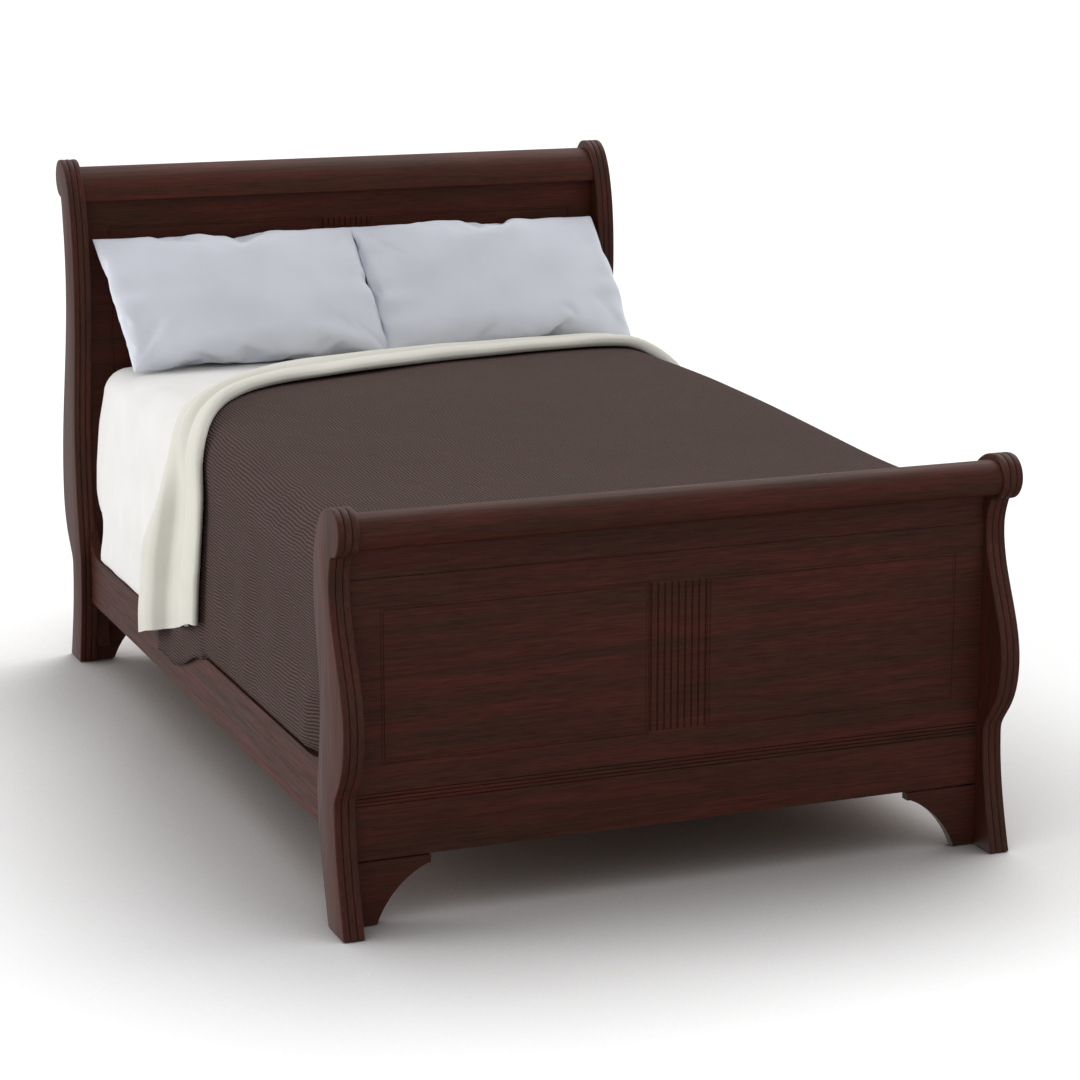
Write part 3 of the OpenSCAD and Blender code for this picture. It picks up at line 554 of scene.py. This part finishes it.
reed_band, band_reeds = 26 * mm, 3
band_pitch = (reed_band - 2 * mm) / band_reeds
band_crease = ((0, -1.2), (0.6, -0.4), (2.2, 0.2), (3, 0.6), (3, 1.4), (2.2, 1.8), (0.6, 2.4), (0, 3.2))

def lower_rail(name, end, material):
    """A board with a band of reeds along the top of its outer face."""
    low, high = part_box(name)
    face, back = (low.y, high.y) if end < 0 else (high.y, low.y)
    outline = [(face, low.z + joint_line)]
    for i in range(band_reeds + 1):
        crease_z = high.z - reed_band + i * band_pitch
        outline += [(face - end * depth * mm, crease_z + up * mm) for depth, up in band_crease]
    outline[-1] = (face, high.z)
    outline += [(back, high.z), (back, low.z + joint_line)]
    piece = across_board(name + "_reeded", outline, -inner_x, inner_x, material, 0.5 * mm)
    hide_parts(name)

lower_rail("foot_lower_rail", -1, across_wood)
lower_rail("head_lower_rail", 1, head_wood_painted_lighter)
print("frieze and lower rails made")

# %% [markdown]
# Each end panel carries a fluted strip in its middle and a bead frame on both sides of it. On the
# bench these are grooves run with a scratch stock. A boolean cut would do it here too, but it
# leaves ragged shading. Instead the face is a net of lines that lie exactly on the grooves' edges,
# and each crossing is pushed in by the groove's depth there.

# %% Panels
flute_count, flute_pitch = 9, 15.25 * mm
# (distance from the groove's middle, depth) in millimetres
flute_profile = ((-2.3, 0), (-1.8, 1.4), (-1.0, 2.6), (0, 3.0), (1.0, 2.6), (1.8, 1.4), (2.3, 0))
bead_profile = ((-3.9, 0), (-3.5, 1.0), (-2.9, 1.4), (-2.3, 1.0), (-1.3, 0.3), (0, 0.05),
                (1.3, 0.3), (2.3, 1.0), (2.9, 1.4), (3.5, 1.0), (3.9, 0))
frame_margin, frame_side = 62 * mm, 64 * mm
tongue = 8 * mm
flutes = [(i - (flute_count - 1) / 2) * flute_pitch for i in range(flute_count)]
frame_near, frame_far = flutes[-1] + 7.5 * mm, inner_x - frame_side - 3.5 * mm

def fluted_panel(name, top_margin, material):
    """A panel moulded on the face at the foot's side, with its hidden tongues left off."""
    low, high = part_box(name)
    bottom, top = low.z + tongue, high.z - tongue
    z0, z1 = bottom + frame_margin, top - top_margin
    across = [-inner_x, inner_x] + [c + d * mm for c in flutes for d, _ in flute_profile]
    across += [s * (f + d * mm) for s in (-1, 1) for f in (frame_near, frame_far) for d, _ in bead_profile]
    upward = [bottom, top, z0 - 5 * mm, z1 + 5 * mm]
    upward += [z + d * mm for z in (z0, z1) for d, _ in bead_profile]
    grid_x, grid_z = np.meshgrid(np.unique(np.round(across, 6)), np.unique(np.round(upward, 6)))
    frame_middle, frame_half = (frame_near + frame_far) / 2, (frame_far - frame_near) / 2
    away = np.maximum(np.abs(np.abs(grid_x) - frame_middle) - frame_half,
                      np.abs(grid_z - (z0 + z1) / 2) - (z1 - z0) / 2) / mm
    depth = np.interp(away, *zip(*bead_profile), 0, 0)
    inside = np.clip(np.minimum(grid_z - z0, z1 - grid_z) / (2 * mm), 0, 1)
    for flute in flutes:
        cut = np.interp((grid_x - flute) / mm, *zip(*flute_profile), 0, 0)
        depth = np.maximum(depth, inside * cut)
    rows, columns = grid_x.shape
    points = [tuple(p) for p in np.stack([grid_x, low.y + depth * mm, grid_z], axis=-1).reshape(-1, 3)]
    faces = grid_faces(rows, columns)
    rim = ([c for c in range(columns)] + [r * columns + columns - 1 for r in range(1, rows)]
           + [(rows - 1) * columns + c for c in range(columns - 2, -1, -1)]
           + [r * columns for r in range(rows - 2, 0, -1)])
    start = len(points)
    points += [(points[i][0], low.y + panel_thickness, points[i][2]) for i in rim]
    faces += [(rim[(i + 1) % len(rim)], rim[i], start + i, start + (i + 1) % len(rim))
              for i in range(len(rim))]
    faces.append(tuple(range(start, start + len(rim)))[::-1])
    piece = add_piece(name + "_moulded", points, faces, material, smooth_below=28)
    recalculate(piece)
    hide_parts(name)
    return piece

foot_panel = fluted_panel("foot_panel", frame_margin, across_wood)
fluted_panel("head_panel", 73 * mm, head_wood_painted_lighter)
print("panel face of", len(foot_panel.data.polygons), "faces")

# %% [markdown]
# The bracket feet, side rails, slats, cleats, beam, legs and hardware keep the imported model's
# shape. Their meshes come in with split corners, so a Weld modifier joins them before the Bevel
# rubs the arrises off.

# %% Pieces kept from the frame
slats = [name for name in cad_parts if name.startswith("slat_") and name != "slat_screws"]
kept = [
    (across_wood, 1.2 * mm, ["left_foot_bracket", "right_foot_bracket", "left_head_bracket",
                             "right_head_bracket", "bracket_blocks"]),
    (rail_wood, 1.2 * mm, ["left_side_rail", "right_side_rail"]),
    (pine_along, 0.8 * mm, ["left_slat_cleat", "right_slat_cleat", "centre_beam"]),
    (pine_wood, 0.8 * mm, ["centre_leg_1", "centre_leg_2", "centre_leg_3"] + slats),
    (zinc, 0, ["beam_hangers", "rail_hook_plates", "post_slot_plates", "hook_plate_screws",
               "slot_plate_screws", "cleat_screws", "slat_screws"]),
    (nylon, 0, ["post_glides", "leg_glides"])]
for material, rubbed, names in kept:
    for node in (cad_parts[name] for name in names):
        node.data.materials.clear()
        node.data.materials.append(material)
        if rubbed:
            node.modifiers.new("joined_corners", "WELD").merge_threshold = 0.02 * mm
            soften(node, rubbed)
print("kept", sum(len(names) for _, _, names in kept), "nodes from the frame")

# %% [markdown]
# The mattress and the box foundation under it are stuffed blocks, almost wholly hidden by the
# sheets. They could be simulated too, but a finely divided block is enough: its edges are rounded,
# its sides swell towards their middles, and the mattress has sunk in a little towards the foot.

# %% Shape of the made bed
mattress_low, mattress_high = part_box("mattress")
foot_sink = 40 * mm
crown = 12 * mm

def smooth(start, stop, value):
    """Rises softly from 0 at start to 1 at stop."""
    t = np.clip((value - start) / (stop - start), 0, 1)
    return t * t * (3 - 2 * t)

def top_shift(x, y):
    """How far the bed's top lies above the mattress's flat top: crowned, and lower at the foot."""
    sink = foot_sink * smooth(0.20, -0.85, y)
    return crown * (1 - np.clip(np.abs(x) / 0.64, 0, 1) ** 2) - sink

def stuffed_block(name, node, swell, corner, sinks):
    """A block with rounded edges; its squares get finer towards the edges."""
    low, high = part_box(node)
    size, centre = (high - low) / 2, (high + low) / 2
    count = (44, 64, 12)
    index, points, faces = {}, [], []
    def point(i, j, k):
        """The number of a point on the block's skin, made when it is first asked for."""
        if (i, j, k) not in index:
            u, v, w = (math.sin((a / n - 0.5) * math.pi) for a, n in zip((i, j, k), count))
            core = [max(abs(c) * s - corner, 0) * (1 if c >= 0 else -1) for c, s in zip((u, v, w), size)]
            over = [c * s - q for c, s, q in zip((u, v, w), size, core)]
            reach = math.sqrt(sum(o * o for o in over)) or 1
            limit = [q + o / reach * min(reach, corner) for q, o in zip(core, over)]
            side_swell = swell * (1 - w ** 2) * (1 - 0.5 * (u ** 2) * (v ** 2))
            x = centre[0] + limit[0] + (side_swell if abs(u) > 0.999 else 0) * np.sign(u)
            y = centre[1] + limit[1] + (side_swell if abs(v) > 0.999 else 0) * np.sign(v)
            z = centre[2] + limit[2]
            if sinks:
                z += float(top_shift(x, y)) * (w + 1) / 2
            index[i, j, k] = len(points)
            points.append((x, y, z))
        return index[i, j, k]
    for axis in range(3):
        a, b = [n for n in range(3) if n != axis]
        for level in (0, count[axis]):
            for i in range(count[a]):
                for j in range(count[b]):
                    square = []
                    for di, dj in ((0, 0), (1, 0), (1, 1), (0, 1)):
                        place = [0, 0, 0]
                        place[axis], place[a], place[b] = level, i + di, j + dj
                        square.append(point(*place))
                    faces.append(tuple(square))
    piece = add_piece(name, points, faces, ticking_cloth, smooth_below=60)
    recalculate(piece)
    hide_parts(node)
    return piece

stuffed_block("mattress_stuffed", "mattress", 1.5 * mm, 66 * mm, True)
stuffed_block("foundation_block", "foundation", 1 * mm, 20 * mm, False)
print("mattress and foundation made")

# %% [markdown]
# Sheets and blanket lie on the same body: flat over the top, round its edge, down the side, and
# into the gap inside the rail. A cloth simulation of a whole made bed needs thousands of tucks to
# settle, and gives another result for each change, so the cloths are laid by rule. Each point of
# a cloth knows how far it is from the middle (across) and along the bed. What hangs over the edge
# follows a side profile, and the profiles are mixed along the bed where the cloth's hang changes.

# %% Side profiles
flat_half = 0.619
flat_foot = mattress_low.y - 3 * mm + 0.070
flat_head = mattress_high.y + 3 * mm - 0.070

def smoothed(curve, window_length, **padding):
    """A curve's columns averaged under a bell-shaped window."""
    window = np.hanning(window_length)
    window /= window.sum()
    return np.column_stack([np.convolve(np.pad(column, window_length // 2, **padding), window, "valid")
                            for column in np.array(curve).T])

def finely(points, count):
    """Points spread evenly between given ones."""
    t = np.linspace(0, len(points) - 1, count)
    return np.column_stack([np.interp(t, range(len(points)), column) for column in np.array(points).T])

def side_profile(edge, *drop):
    """Smooth (out, height) curve round the edge and through the drop's points, which are in
    millimetres, as tables over the length of cloth."""
    curve = finely(edge + [(out * mm, height * mm) for out, height in drop], 400)
    for _ in range(2):
        curve = smoothed(curve, 19, mode="reflect", reflect_type="odd")
    length = np.concatenate([[0], np.cumsum(np.linalg.norm(np.diff(curve, axis=0), axis=1))])
    return length, curve[:, 0], curve[:, 1]

def edge_arc(radius, top):
    """The cloth's way round the mattress's edge."""
    return [(radius * math.sin(math.radians(a)), top - radius * (1 - math.cos(math.radians(a))))
            for a in range(0, 91, 15)]

fitted_top = mattress_high.z + 3 * mm
fitted_edge = edge_arc(0.070, fitted_top)
fitted_tucked = side_profile(fitted_edge, (82, 660), (92, 560), (96, 460), (90, 380), (78, 330),
                             (74.5, 290), (74.5, 240))
fitted_collar = side_profile(fitted_edge, (82, 660), (93, 560), (100, 460), (108, 380), (116, 335),
                             (118, 318), (108, 308.5), (90, 307.5), (75.5, 303), (74.5, 280), (74.5, 240))
fitted_at_ear = side_profile(fitted_edge, (84, 660), (93, 560), (94, 480), (87, 435), (76.5, 410),
                             (74.5, 370), (74.5, 240))
blanket_edge = edge_arc(0.094, mattress_high.z + 27 * mm)
blanket_tucked = side_profile(blanket_edge, (98, 660), (103, 560), (107, 460), (110, 380), (111, 335),
                              (109, 318), (100, 310), (88, 308.5), (79, 303), (78.5, 285), (78.5, 250))
blanket_outside = side_profile(blanket_edge, (99, 660), (106, 560), (112, 460), (115, 380), (115, 330),
                               (114, 280), (114, 180))
blanket_at_ear = side_profile(blanket_edge, (99, 660), (105, 560), (105, 480), (97, 440), (81, 412),
                              (78.5, 370), (78.5, 250))
print("side profiles for sheet and blanket")

# %% Laying a cloth
def waves(x, y, seed, count=7, length=0.25):
    """Smooth irregular waves from -1 to 1, the same on every run."""
    random = np.random.default_rng(seed)
    total = np.zeros(np.broadcast(x, y).shape)
    for _ in range(count):
        angle, phase = random.uniform(0, 2 * math.pi, 2)
        k = 2 * math.pi / (length * random.uniform(0.6, 1.7))
        total += np.sin(k * (x * math.cos(angle) + y * math.sin(angle)) + phase)
    return total / count ** 0.5 / 1.6

def lay(across, along, profiles):
    """Places cloth points. profiles is a list of (profile, weight array) whose weights sum to 1."""
    over_side = np.maximum(np.abs(across) - flat_half, 0)
    over_end = np.maximum(flat_foot - along, 0) + np.maximum(along - flat_head, 0)
    hang = np.maximum(over_side, over_end)
    reach = (over_side ** 3 + over_end ** 3) ** (1 / 3) + 1e-9
    side_way = np.sign(across) * over_side / reach
    end_way = np.where(along < 0, -1, 1) * over_end / reach
    out, height = np.zeros_like(hang), np.zeros_like(hang)
    for (length, outs, heights), weight in profiles:
        out += weight * np.interp(hang, length, outs)
        height += weight * np.interp(hang, length, heights)
    x = np.clip(across, -flat_half, flat_half) + side_way * out
    y = np.clip(along, flat_foot, flat_head) + end_way * out
    keeps_shift = smooth(0.45, 0.74, height)
    z = height + keeps_shift * top_shift(x, y)
    return np.stack([x, y, z], axis=-1)

def grid_normals(places):
    """Outward normals of a grid of points."""
    down = np.gradient(places, axis=0)
    right = np.gradient(places, axis=1)
    normal = np.cross(down, right)
    normal /= np.linalg.norm(normal, axis=-1, keepdims=True) + 1e-12
    return normal * np.sign(normal[normal.shape[0] // 2, normal.shape[1] // 2, 2])

def cloth_piece(name, places, flat_across, flat_along, material, thickness):
    """A net of quads with the flat cloth's metres as its UV map, thickened inwards."""
    faces = grid_faces(*places.shape[:2])
    piece = add_piece(name, places.reshape(-1, 3), faces, material, smooth_below=180)
    uv = piece.data.uv_layers.new(name="flat_cloth")
    corners = np.array([loop.vertex_index for loop in piece.data.loops])
    flat = np.column_stack([flat_across.reshape(-1)[corners], flat_along.reshape(-1)[corners]])
    uv.data.foreach_set("uv", flat.astype(np.float32).reshape(-1))
    if thickness:
        solid = piece.modifiers.new("cloth_thickness", "SOLIDIFY")
        solid.thickness = thickness
        middle_face = piece.data.polygons[len(piece.data.polygons) // 2]
        solid.offset = -1 if middle_face.normal.z > 0 else 1
    return piece

# %% [markdown]
# The fitted sheet is pulled over the mattress and the foundation down to the rails. Near the head
# on the left it bulges out over the rail's top, in a slightly wavy line. A Shrinkwrap modifier could
# wrap it round the two blocks, but it would cling to them everywhere. Laid by rule, it hangs free.

# %% Fitted sheet
skirt = 0.60
cell = 0.014
spans = (flat_half + skirt, flat_foot - skirt, flat_head + skirt)
columns = int(2 * spans[0] / cell)
rows = int((spans[2] - spans[1]) / cell)
across, along = np.meshgrid(np.linspace(-spans[0], spans[0], columns),
                            np.linspace(spans[1], spans[2], rows))
at_ear = np.clip(smooth(-0.86, -0.95, along) + smooth(0.88, 0.96, along), 0, 1)
collar = ((across < 0) * smooth(0.30, 0.50, along) * (1 - at_ear)
          * (0.75 + 0.25 * waves(along, 0, 3, 4, 0.16)))
places = lay(across, along, [(fitted_tucked, 1 - at_ear - collar), (fitted_collar, collar),
                             (fitted_at_ear, at_ear)])
normals = grid_normals(places)
creases = 1.6 * mm * waves(across * 1.3, along * 0.5, 11, 8, 0.30)
side_folds = 2.5 * mm * waves(along, across * 0.12, 5, 6, 0.14) * smooth(0.70, 0.5, places[..., 2])
off_crease = (along - 0.90 - 0.05 * (places[..., 2] - 0.5)) / 0.010
corner_crease = (5 * mm * np.exp(-off_crease ** 2) * smooth(0.70, 0.52, places[..., 2])
                 * smooth(0.33, 0.40, places[..., 2]))
free = smooth(0.31, 0.36, places[..., 2])
places = places + normals * (free * (creases + side_folds - corner_crease))[..., None]
fitted = cloth_piece("fitted_sheet_cloth", places, across, along, sheet_cloth, 0.8 * mm)
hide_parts("fitted_sheet")

# %% [markdown]
# The turned-down end of the top sheet runs across the bed in a curve: its front edge sweeps
# towards the foot on both sides. Both edges are smooth lines through a few chosen points, given
# as (across, along). The blanket ends under this band, nearer to its back edge. On the left it is
# pulled out over the rail below the band. It could be one simulated cloth, but its way in and out of
# the gap inside the rail is what shows, and laying it by rule keeps that under control.

# %% Edges of the turned-down sheet
def flowing_line(points):
    """A smoothed function through (across, along) points."""
    fine = np.linspace(points[0][0], points[-1][0], 600)
    values = np.interp(fine, *zip(*points))
    values = smoothed(values[:, None], 31, mode="edge")[:, 0]
    return lambda across: np.interp(across, fine, values)

front_edge = flowing_line([
    (-1.30, -0.095), (-1.00, -0.110), (-0.80, -0.115), (-0.72, -0.08), (-0.66, 0.03), (-0.58, 0.19),
    (-0.49, 0.305), (-0.40, 0.365), (-0.20, 0.435), (0.10, 0.512), (0.40, 0.593), (0.56, 0.625),
    (0.66, 0.60), (0.74, 0.46), (0.85, 0.40), (1.30, 0.38)])
back_edge = flowing_line([
    (-1.30, 0.385), (-1.10, 0.335), (-0.95, 0.28), (-0.82, 0.23), (-0.74, 0.22), (-0.65, 0.31),
    (-0.53, 0.50), (-0.44, 0.60), (-0.36, 0.68), (-0.24, 0.76), (0, 0.80), (0.40, 0.84),
    (0.58, 0.86), (0.70, 0.80), (0.85, 0.74), (1.30, 0.70)])
print("band's width in the bed's middle, metres:", round(float(back_edge(0) - front_edge(0)), 3))

# %% Blanket
side_bend = 0.98
reach_side = flat_half + 0.60
drop_top, edge_length = 0.741, 0.148

def cut_to_hang(across, reach, bottom):
    """Draws in the hanging part of a cloth that reaches `reach` across, so it ends at bottom."""
    end = (drop_top - bottom) + flat_half + edge_length
    shrink = (end - side_bend) / (reach - side_bend)
    past_bend = np.maximum(np.abs(across) - side_bend, 0)
    return across + np.sign(across) * past_bend * (shrink - 1)

lay_rows = np.concatenate([np.linspace(0, 0.69, 104)[:-1], np.linspace(0.69, 0.76, 34)[:-1],
                           np.linspace(0.76, 1, 32)])
nominal, share_along = np.meshgrid(np.linspace(-1, 1, 172) * reach_side, lay_rows)
blanket_foot = flat_foot - 0.42
tucked_share = mix(0.62, 0.86, smooth(-0.75, -0.95, nominal))
tuck_under = mix(front_edge(nominal), back_edge(nominal), tucked_share)
along = mix(blanket_foot, tuck_under, share_along)
on_left = nominal < 0
hangs_out = on_left * smooth(-0.125, -0.098, along)
flap_bottom = mix(0.315, 0.233, smooth(-0.13, 0.17, along))
inside_bottom = 0.27
over_rail = np.clip(1 - np.abs(2 * hangs_out - 1) * 1.3, 0, 1) * on_left
bottom = mix(mix(inside_bottom, flap_bottom, hangs_out), 0.318, over_rail)
across = cut_to_hang(nominal, reach_side, bottom)
at_ear = smooth(-0.86, -0.95, along)
places = lay(across, along, [(blanket_tucked, 1 - at_ear - hangs_out), (blanket_outside, hangs_out),
                             (blanket_at_ear, at_ear)])
normals = grid_normals(places)
height = places[..., 2]
hanging = smooth(0.74, 0.50, height)
free = np.clip(smooth(0.30, 0.38, height) + hangs_out, 0, 1) * (1 - 0.8 * at_ear)
swell = 2.2 * mm * waves(across, along * 0.7, 21, 8, 0.42)
folds = 5.5 * mm * waves(along, across * 0.15, 22, 6, 0.26) * hanging
places = places + normals * (free * (swell + folds + 1 * mm))[..., None]
blanket = cloth_piece("blanket_knit", places, across, along, blanket_cloth, 3 * mm)
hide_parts("blanket")

# %% [markdown]
# The turned-down band is a doubled strip of the top sheet with a full, round front edge and soft
# pleats along it. A simulated fold would lie limp, so its cross-section is drawn instead: a loop of
# (share of width, height). One loop is for the bed's top. The other is for the left drop, with two
# narrow pleats in front, a deep valley and a high ridge behind. The loop is carried along the band,
# over the edge and down outside the rail, and the pleats drift, so that they don't look ruled.

# %% Turned-down sheet
def loop_section(*points):
    """A smooth closed loop through (percent of the width, millimetres of height) points."""
    given = np.array(((30, 1), (16, 1), (4, 2)) + points + ((80, 0), (70, 0))) * (0.01, mm)
    return smoothed(finely(given, 384), 13, mode="edge")[:: 4]

on_top = loop_section(
    (-2.5, 6), (-5, 15), (-3, 25), (2, 30), (10, 31), (19, 28), (27, 21), (32, 14), (34.5, 10),
    (37, 11), (43, 18), (50, 21), (56, 18), (61, 12), (64, 9), (67, 10), (73, 15), (80, 18),
    (87, 17), (94, 13), (99, 8), (102, 4), (99, 1), (90, 0))
on_drop = loop_section(
    (-2, 6), (-4, 13), (-3, 21), (1, 26), (6, 29), (13, 30), (19, 27), (22.5, 20), (24.5, 14),
    (27.5, 18), (31, 18), (34.5, 8), (39, 1), (46, 0), (53.5, 1), (57, 8), (59.5, 24), (62, 40),
    (67, 49), (77, 50), (88, 44), (97, 26), (102, 8), (96, 1))
path = np.concatenate([np.linspace(-1.30, -0.55, 90)[:-1], np.linspace(-0.55, 0.60, 96)[:-1],
                       np.linspace(0.60, 1.20, 50)])
across, which = np.meshgrid(path, np.arange(len(on_top)))
hangs = smooth(-0.70, -0.92, across)
width_share = mix(on_top[which, 0], on_drop[which, 0], hangs)
loft = mix(on_top[which, 1], on_drop[which, 1], hangs)
drift = 0.020 * np.sin(across * 5.1 + 0.6) + 0.010 * np.sin(across * 11 + 2)
middle_share = width_share * (1 - width_share) * 4
width_share = width_share + np.clip(middle_share, 0, 1) * drift
deepen = 1 + 0.10 * waves(across, width_share * 0.2, 31, 5, 0.35)
hem = mix(0.395, 0.262, np.clip(width_share, 0, 1)) + 2 * mm * waves(width_share * 0.5, 0, 8, 4, 0.2)
across_laid = np.where(across < 0, cut_to_hang(across, 1.30, hem), across)
along = mix(front_edge(across_laid), back_edge(across_laid), width_share)
left_side = (across < 0) * 1.0
sides = [(blanket_outside, left_side), (blanket_tucked, 1 - left_side)]
step = 2 * mm
places = lay(across_laid, along, sides)
ahead = lay(across_laid + step, along, sides)
further = lay(across_laid, along + step, sides)
normals = np.cross(ahead - places, further - places)
normals /= np.linalg.norm(normals, axis=-1, keepdims=True)
settles = 19 * mm * smooth(0.62, 0.88, width_share) * smooth(0.50, 0.62, places[..., 2])
above_blanket = 1.5 * mm + swell.mean()
places = places + normals * (loft * deepen - settles + above_blanket)[..., None]
turned_down = cloth_piece("top_sheet_turned_down", places.transpose(1, 0, 2), across.T,
                          (width_share * 0.45 + loft).T, cream_cloth, 0)
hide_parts("top_sheet")

# %% [markdown]
# A pillowcase is two flat rectangles sewn round the rim and blown up by its filling. The corners
# stick out like ears and the seams pucker, because flat cloth can't become round without folds.
# Nothing makes those folds as truly as a cloth simulation: the flat case is inflated by pressure
# with gravity off. The sewn rim draws in too far for such stiff cotton, so the edges are drawn out
# again to nearly straight lines. Then the case is leaned back, its lower edge is pressed flat on the
# bed and its back on the head panel.

# %% Sewn and filled pillowcases
case_width, case_height, case_thickness = 0.715, 0.44, 0.150
seam_cell = 0.0105

def sewn_case(name, seed):
    """Two grids that share their rim, a few millimetres apart in the middle."""
    nx, nz = int(case_width / seam_cell), int(case_height / seam_cell)
    index, points, faces = {}, [], []
    for face in (-1, 1):
        for j in range(nz + 1):
            for i in range(nx + 1):
                rim = i in (0, nx) or j in (0, nz)
                key = (i, j) if rim else (i, j, face)
                if key in index:
                    continue
                u, v = 2 * i / nx - 1, 2 * j / nz - 1
                puff = 0.014 * (1 - u ** 4) * (1 - v ** 4)
                ripple = 0.0015 * float(waves(u * 0.35, v * 0.22, seed + (face > 0), 6, 0.12))
                index[key] = len(points)
                points.append((u * case_width / 2, face * puff + (0 if rim else ripple),
                               v * case_height / 2))
        def corner(i, j):
            """The number of a grid point, shared by both faces on the rim."""
            return index[(i, j)] if (i in (0, nx) or j in (0, nz)) else index[(i, j, face)]
        for j in range(nz):
            for i in range(nx):
                square = (corner(i, j), corner(i + 1, j), corner(i + 1, j + 1), corner(i, j + 1))
                faces.append(square if face < 0 else square[::-1])
    mesh = bpy.data.meshes.new(name)
    mesh.from_pydata(points, [], faces)
    mesh.update()
    return mesh

def fill_case(mesh, frames=22):
    """Inflates the case by pressure and returns its points."""
    holder = bpy.data.objects.new("filling_case", mesh)
    bpy.context.scene.collection.objects.link(holder)
    cloth = holder.modifiers.new("filling", "CLOTH")
    for name, value in (("quality", 6), ("mass", 0.25), ("tension_stiffness", 18),
                        ("compression_stiffness", 18), ("shear_stiffness", 6),
                        ("bending_stiffness", 0.12), ("use_pressure", True),
                        ("uniform_pressure_force", 1.8)):
        setattr(cloth.settings, name, value)
    cloth.settings.effector_weights.gravity = 0
    cloth.collision_settings.use_collision = False
    cloth.point_cache.frame_start = 1
    cloth.point_cache.frame_end = frames
    for number in range(1, frames + 1):
        bpy.context.scene.frame_set(number)
    filled = holder.evaluated_get(bpy.context.evaluated_depsgraph_get())
    points = np.array([v.co for v in filled.data.vertices])
    bpy.data.objects.remove(holder)
    bpy.context.scene.frame_set(1)
    return points

# %% Straight seams and gathers
pillow_width, pillow_slant = 0.700, 0.385

def drawn_square(points, amount=0.92):
    """Draws the hollowed edges of a filled case most of the way back to straight lines."""
    shaped = points.copy()
    for along_edge, other in ((0, 2), (2, 0)):
        half = np.abs(points[:, along_edge]).max()
        bins = np.linspace(-half, half, 25)
        which = np.digitize(points[:, along_edge], bins)
        extent = np.array([np.abs(points[which == k][:, other]).max() if (which == k).any() else 0
                           for k in range(1, 25)])
        softened = np.convolve(np.pad(extent, 1, mode="edge"), (0.25, 0.5, 0.25), "valid")
        local = np.interp(points[:, along_edge], (bins[1:] + bins[:-1]) / 2, softened)
        shaped[:, other] *= 1 + amount * (extent.max() / local - 1)
    return shaped

def gathered(points, seed):
    """Adds soft lumps of filling, and the short gathers that a seam draws up beside itself."""
    lumps = waves(points[:, 0], points[:, 2], seed + 7, 6, 0.22)
    points[:, 1] += 5 * mm * lumps * np.clip(np.abs(points[:, 1]) / 0.05, 0, 1)
    gathers = 0
    for edge, run, half, reach, length, more in ((0, 2, pillow_width / 2, 0.060, 0.060, 3),
                                                 (2, 0, pillow_slant / 2, 0.050, 0.075, 4)):
        inwards = np.abs(np.abs(points[:, edge]) - half)
        ripples = waves(points[:, run], 0, seed + more, 7, length)
        gathers = gathers + ripples * np.exp(-inwards / reach) * smooth(0, 0.02, inwards)
    points[:, 1] += np.sign(points[:, 1]) * 5.5 * mm * gathers
    return points

# %% Lean the pillows on the head panel
pillow_lean = math.radians(32)
panel_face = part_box("head_panel")[0].y

def lean_pillow(side_name, seed, middle_x, sideways):
    """Fills a case, leans it back and presses it on the bed; sideways slants its lower edge."""
    mesh = sewn_case(f"{side_name}_pillowcase_sewn", seed)
    points = drawn_square(fill_case(mesh.copy()))
    size = points.max(0) - points.min(0)
    print(side_name, "case after filling", [round(float(v), 3) for v in size])
    points = points / size * (pillow_width, case_thickness, pillow_slant)
    share = points[:, 2] / pillow_slant
    points[:, 1] *= 1.0 - 0.35 * share
    x, y, z = gathered(points, seed).T
    cos, sin = math.cos(pillow_lean), math.sin(pillow_lean)
    low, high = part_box(f"{side_name}_pillowcase")
    middle = (low + high) / 2
    placed = np.column_stack([middle_x + x + sideways * (0.5 - share), middle.y + y * cos + z * sin,
                              middle.z + z * cos - y * sin])
    rest_z = fitted_top + top_shift(placed[:, 0], placed[:, 1]) + 2 * mm
    soft = 12 * mm
    above = placed[:, 2] - rest_z
    placed[:, 2] = rest_z + np.where(above < soft, soft * np.exp(np.minimum(above - soft, 0) / soft), above)
    placed[:, 1] = np.minimum(placed[:, 1], panel_face - 2 * mm)
    mesh.vertices.foreach_set("co", placed.astype(np.float32).reshape(-1))
    mesh.update()
    mesh.shade_smooth()
    piece = link_piece(f"{side_name}_pillowcase_filled", mesh, case_cloth,
                       f"{side_name}_pillow_on_bed")
    finer = piece.modifiers.new("finer", "SUBSURF")
    finer.levels = finer.render_levels = 1
    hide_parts(f"{side_name}_pillowcase", f"{side_name}_pillow")

lean_pillow("left", 40, -0.350, 0.052)
lean_pillow("right", 57, 0.340, 0.045)
print("pillows filled and leaned")
